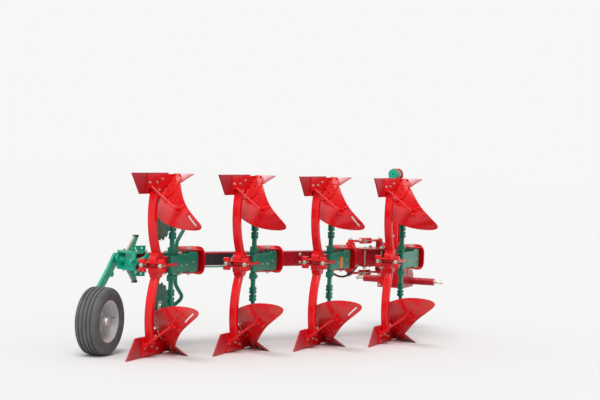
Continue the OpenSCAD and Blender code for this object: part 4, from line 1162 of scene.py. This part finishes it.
def add_stop_fittings():
    """Worn faces and rubber caps of the stops."""
    x = WHEEL_PIVOT_X
    bm = bmesh.new()
    face = [(x - 48, 77), (STOP_X - 62, STOP_Z - 14), (STOP_X - 64, STOP_Z - 11), (x - 50, 80)]
    side_plate(bm, face, 506, 20)
    mirror_below(bm)
    new_piece("stop_faces", bm, "wheel_green", "worn_face")
    bm = bmesh.new()
    level_plate(bm, rounded_rectangle((STOP_X - 60, 496), (STOP_X, 536), 6, 3), STOP_Z - 20, 22)
    mirror_below(bm)
    new_piece("stop_caps", bm, "wheel_green", "rubber_hose", bevel=1.5)


def add_bracket_fittings():
    """Bolts, the nut on the arm's pivot, welds, and the cover and stay at the beam's rear end."""
    bm = bmesh.new()
    for q, y in BRACKET_BOLTS:
        bolt(bm, (q, y, BRACKET_TOP), UP, 24, 12, 6)
    mirror_below(bm)
    for z in (-58, 58):
        bolt(bm, (BRACKET_REAR, -118, z), REAR, 22, 11)
    beam_piece("bracket_bolts", bm, "zinc")
    bm = bmesh.new()
    turned(bm, (WHEEL_PIVOT_X, 498, 0), RIGHT, [(0, 20), (7, 20), (8, 17), (16, 17), (17, 15)], 6)
    new_piece("pivot_nut", bm, "zinc")
    bm = bmesh.new()
    for z in (-73, 73):
        bead(bm, [(-688, -145, z), (-688, 163, z)], 4)
        bead(bm, [(-500, 163, z), (-686, 163, z)], 4)
    beam_piece("bracket_welds", bm, "wheel_green")
    bm = bmesh.new()
    cover = rounded_rectangle((-BEAM_HALF, -BEAM_HALF), (BEAM_HALF, BEAM_HALF), 12, 4)
    cross_plate(bm, cover, COVER_Q, COVER_T)
    turned(bm, STAY_EYE_REAR, RIGHT, [(0, 34), (3, 37), (31, 37), (34, 34), (34, 17), (22, 16)], 32)
    turned(bm, STAY_EYE_FRONT, RIGHT, [(0, 24), (3, 26), (21, 26), (24, 24)], 28)
    rod(bm, (-686, -151, 0), (-566, -151, 46), 15, 20)
    beam_piece("bracket_stay", bm, "wheel_green")


add_stop_fittings()
add_bracket_fittings()

# Fittings of the headstock, around the turnover axis at its rear plate
HEAD_AT = Vector((HEAD_X, TURN_Y, 0))
HEAD_LEN = 150
CHEEK_Y = 150
CHEEK_BOLTS = ((45, 40), (105, 40), (45, -120), (105, -120))
FLANGE_BOLT_R = 92
MAST_HOLE = (2, 299)
RAM_TOP = 890
CRANK_R = 95
RAM_TILT = math.atan(CRANK_R / RAM_TOP)
RAM_WAY = Vector((0, math.sin(RAM_TILT), -math.cos(RAM_TILT)))
RAM_COLLARS = (96, 520)
RAM_CAP = [(-2, 55), (2, 55), (4, 53), (4.1, 42), (2.5, 40), (2.6, 37), (5, 35), (6, 33), (6.1, 22), (4, 20),
           (4.1, 18)]
LINK_AHEAD = 330
LINK_DROP = 310
LINK_HALF = 412.5


def head_piece(name, bm, slot, look="", body="headstock"):
    new_piece(name, bm, slot, look, body, HEAD_AT)


def add_head_bolts():
    bm = bmesh.new()
    for at in circle((0, 0, 0), FLANGE_BOLT_R, "yz", 6, 30):
        bolt(bm, at, REAR, 24, 12)
    bolt(bm, (0, -16, 198), REAR, 24, 12)
    for y in (-126, 126):
        for z in (-350, -240):
            bolt(bm, (0, y, z), REAR, 22, 11)
    for side in (-1, 1):
        for x, z in CHEEK_BOLTS:
            bolt(bm, (x, side * CHEEK_Y, z), LEFT * side, 22, 11)
    head_piece("head_bolts", bm, "zinc")


def add_mast_bore_shade():
    """A flat ring with a dark disc in it. The disc is painted shade, standing for the shadow inside the bore
    in the mast's rear plate.
    """
    bm = bmesh.new()
    turned(bm, (0, *MAST_HOLE), REAR, [(0, 22), (3, 22), (4, 20)], 32)
    head_piece("mast_ring", bm, "beam_paint")
    # Painted shade: a thin dark disc where the inside of the bore lies in shadow
    bm = bmesh.new()
    turned(bm, (-3.6, *MAST_HOLE), REAR, [(0, 17), (0.8, 17)], 32)
    head_piece("mast_bore_shade", bm, "beam_paint", "rubber_hose")


def add_head_welds():
    bm = bmesh.new()
    for y in (-CHEEK_Y * 0.995, CHEEK_Y * 0.995):
        for x, top in ((15, 60), (HEAD_LEN - 1, -10)):
            bead(bm, [(x, y, top), (x, y, -370)], 4)
    for y in (-51, -30.6, 30.6, 51):
        bead(bm, [(HEAD_LEN + 1, y, 212), (HEAD_LEN + 1, y, 388)])
    bead(bm, circle((-1, 0, 0), 69, "yz", 48, closed=True), 4, 5)
    head_piece("head_welds", bm, "beam_paint")


def add_link_pins():
    """Collars, linch pins and the bare lower link pins, and the cross shaft's welds."""
    bm = bmesh.new()
    for side in (-1, 1):
        base = Vector((LINK_AHEAD, side * LINK_HALF, -LINK_DROP))
        turned(bm, base, LEFT * side, [(0, 14.2), (92, 14.2), (95.6, 12.5)], 32)
        turned(bm, base + LEFT * side * 0.2, LEFT * side, [(0, 30), (6, 30), (8, 28)], 32)
        at = base + LEFT * side * 78
        rod(bm, at - UP * 24, at + UP * 24, 5, 12)
        angles = [math.radians(15 * k - 150) for k in range(21)]
        tube(bm, [at + Vector((20 * math.sin(a), 0, 22 * math.cos(a))) for a in angles], 2.2, 8)
    head_piece("link_pins", bm, "zinc")
    bm = bmesh.new()
    for y in (-150, -136, 150, 136):
        bead(bm, circle((LINK_AHEAD, y, -LINK_DROP), 41, "xz", 36, closed=True), 3.5, 5)
    head_piece("cross_welds", bm, "beam_paint")


def add_ram_fittings():
    """The turnover cylinder's lower ring, collars with their nuts, round cap and pin end."""
    top = Vector((HEAD_LEN / 2, 0, RAM_TOP))
    bm = bmesh.new()
    turned(bm, top + RAM_WAY * 556, RAM_WAY, [(0, 40), (3, 43), (26, 43), (30, 39)], 36)
    for along in RAM_COLLARS:
        turned(bm, top + RAM_WAY * along + REAR * 34, REAR, [(0, 16), (12, 16), (14, 14)], 24)
    turned(bm, (-40, 0, RAM_TOP), REAR, RAM_CAP, 48)
    head_piece("ram_fittings", bm, "wheel_green", body="ram_barrel")
    bm = bmesh.new()
    for along in RAM_COLLARS:
        turned(bm, top + RAM_WAY * along + REAR * 48, REAR, [(0, 12), (9, 12), (10, 10)], 6)
    head_piece("ram_nuts", bm, "zinc", body="ram_barrel")
    bm = bmesh.new()
    turned(bm, (-43, 0, RAM_TOP), REAR, [(0, 9), (2, 9), (3, 8)], 24)
    head_piece("ram_pin_end", bm, "wheel_green", "spring_steel", "ram_barrel")


add_head_bolts()
add_mast_bore_shade()
add_head_welds()
add_link_pins()
add_ram_fittings()

# Studio
AMBIENT = 0.62
BACKDROP = 0.93
FLOOR_COLOR = (0.75, 0.75, 0.745, 1)
FLOOR_ROUGHNESS = 0.9
FLOOR_HALF = 120
SUN_ENERGY = 2.2
SUN_ANGLE = math.radians(35)
SUN_WAY = Vector((0.62, 0.12, -1))


def add_world():
    """A plain sky that lights evenly, and a paler one for what is seen directly or in a mirror."""
    world = bpy.data.worlds.new("studio")
    world.use_nodes = True
    tree = world.node_tree
    tree.nodes.clear()
    plain = add_node(tree, "Background", {0: (1, 1, 1, 1), 1: AMBIENT})
    seen = add_node(tree, "Background", {0: (BACKDROP, BACKDROP, BACKDROP, 1), 1: 1.0})
    rays = tree.nodes.new("ShaderNodeLightPath").outputs
    either = add_node(tree, "Math", {0: rays["Is Camera Ray"], 1: rays["Is Glossy Ray"]})
    either.operation = "MAXIMUM"
    choose = add_node(tree, "MixShader", {0: either.outputs[0], 1: plain.outputs[0], 2: seen.outputs[0]})
    add_node(tree, "OutputWorld", {0: choose.outputs[0]})
    bpy.context.scene.world = world


def add_floor():
    material, tree, shader = node_material("floor")
    feed(tree, shader, {"Base Color": FLOOR_COLOR, "Roughness": FLOOR_ROUGHNESS})
    mesh = bpy.data.meshes.new("floor")
    size = FLOOR_HALF
    mesh.from_pydata([(-size, -size, 0), (size, -size, 0), (size, size, 0), (-size, size, 0)], [],
                     [(0, 1, 2, 3)])
    mesh.materials.append(material)
    floor = add_object("floor", mesh)


def add_sun():
    sun = bpy.data.lights.new("sun", "SUN")
    sun.energy = SUN_ENERGY
    sun.angle = SUN_ANGLE
    add_object("sun", sun).rotation_euler = SUN_WAY.to_track_quat("-Z", "Y").to_euler()


add_world()
add_floor()
add_sun()

bpy.context.scene.view_settings.view_transform = "Standard"
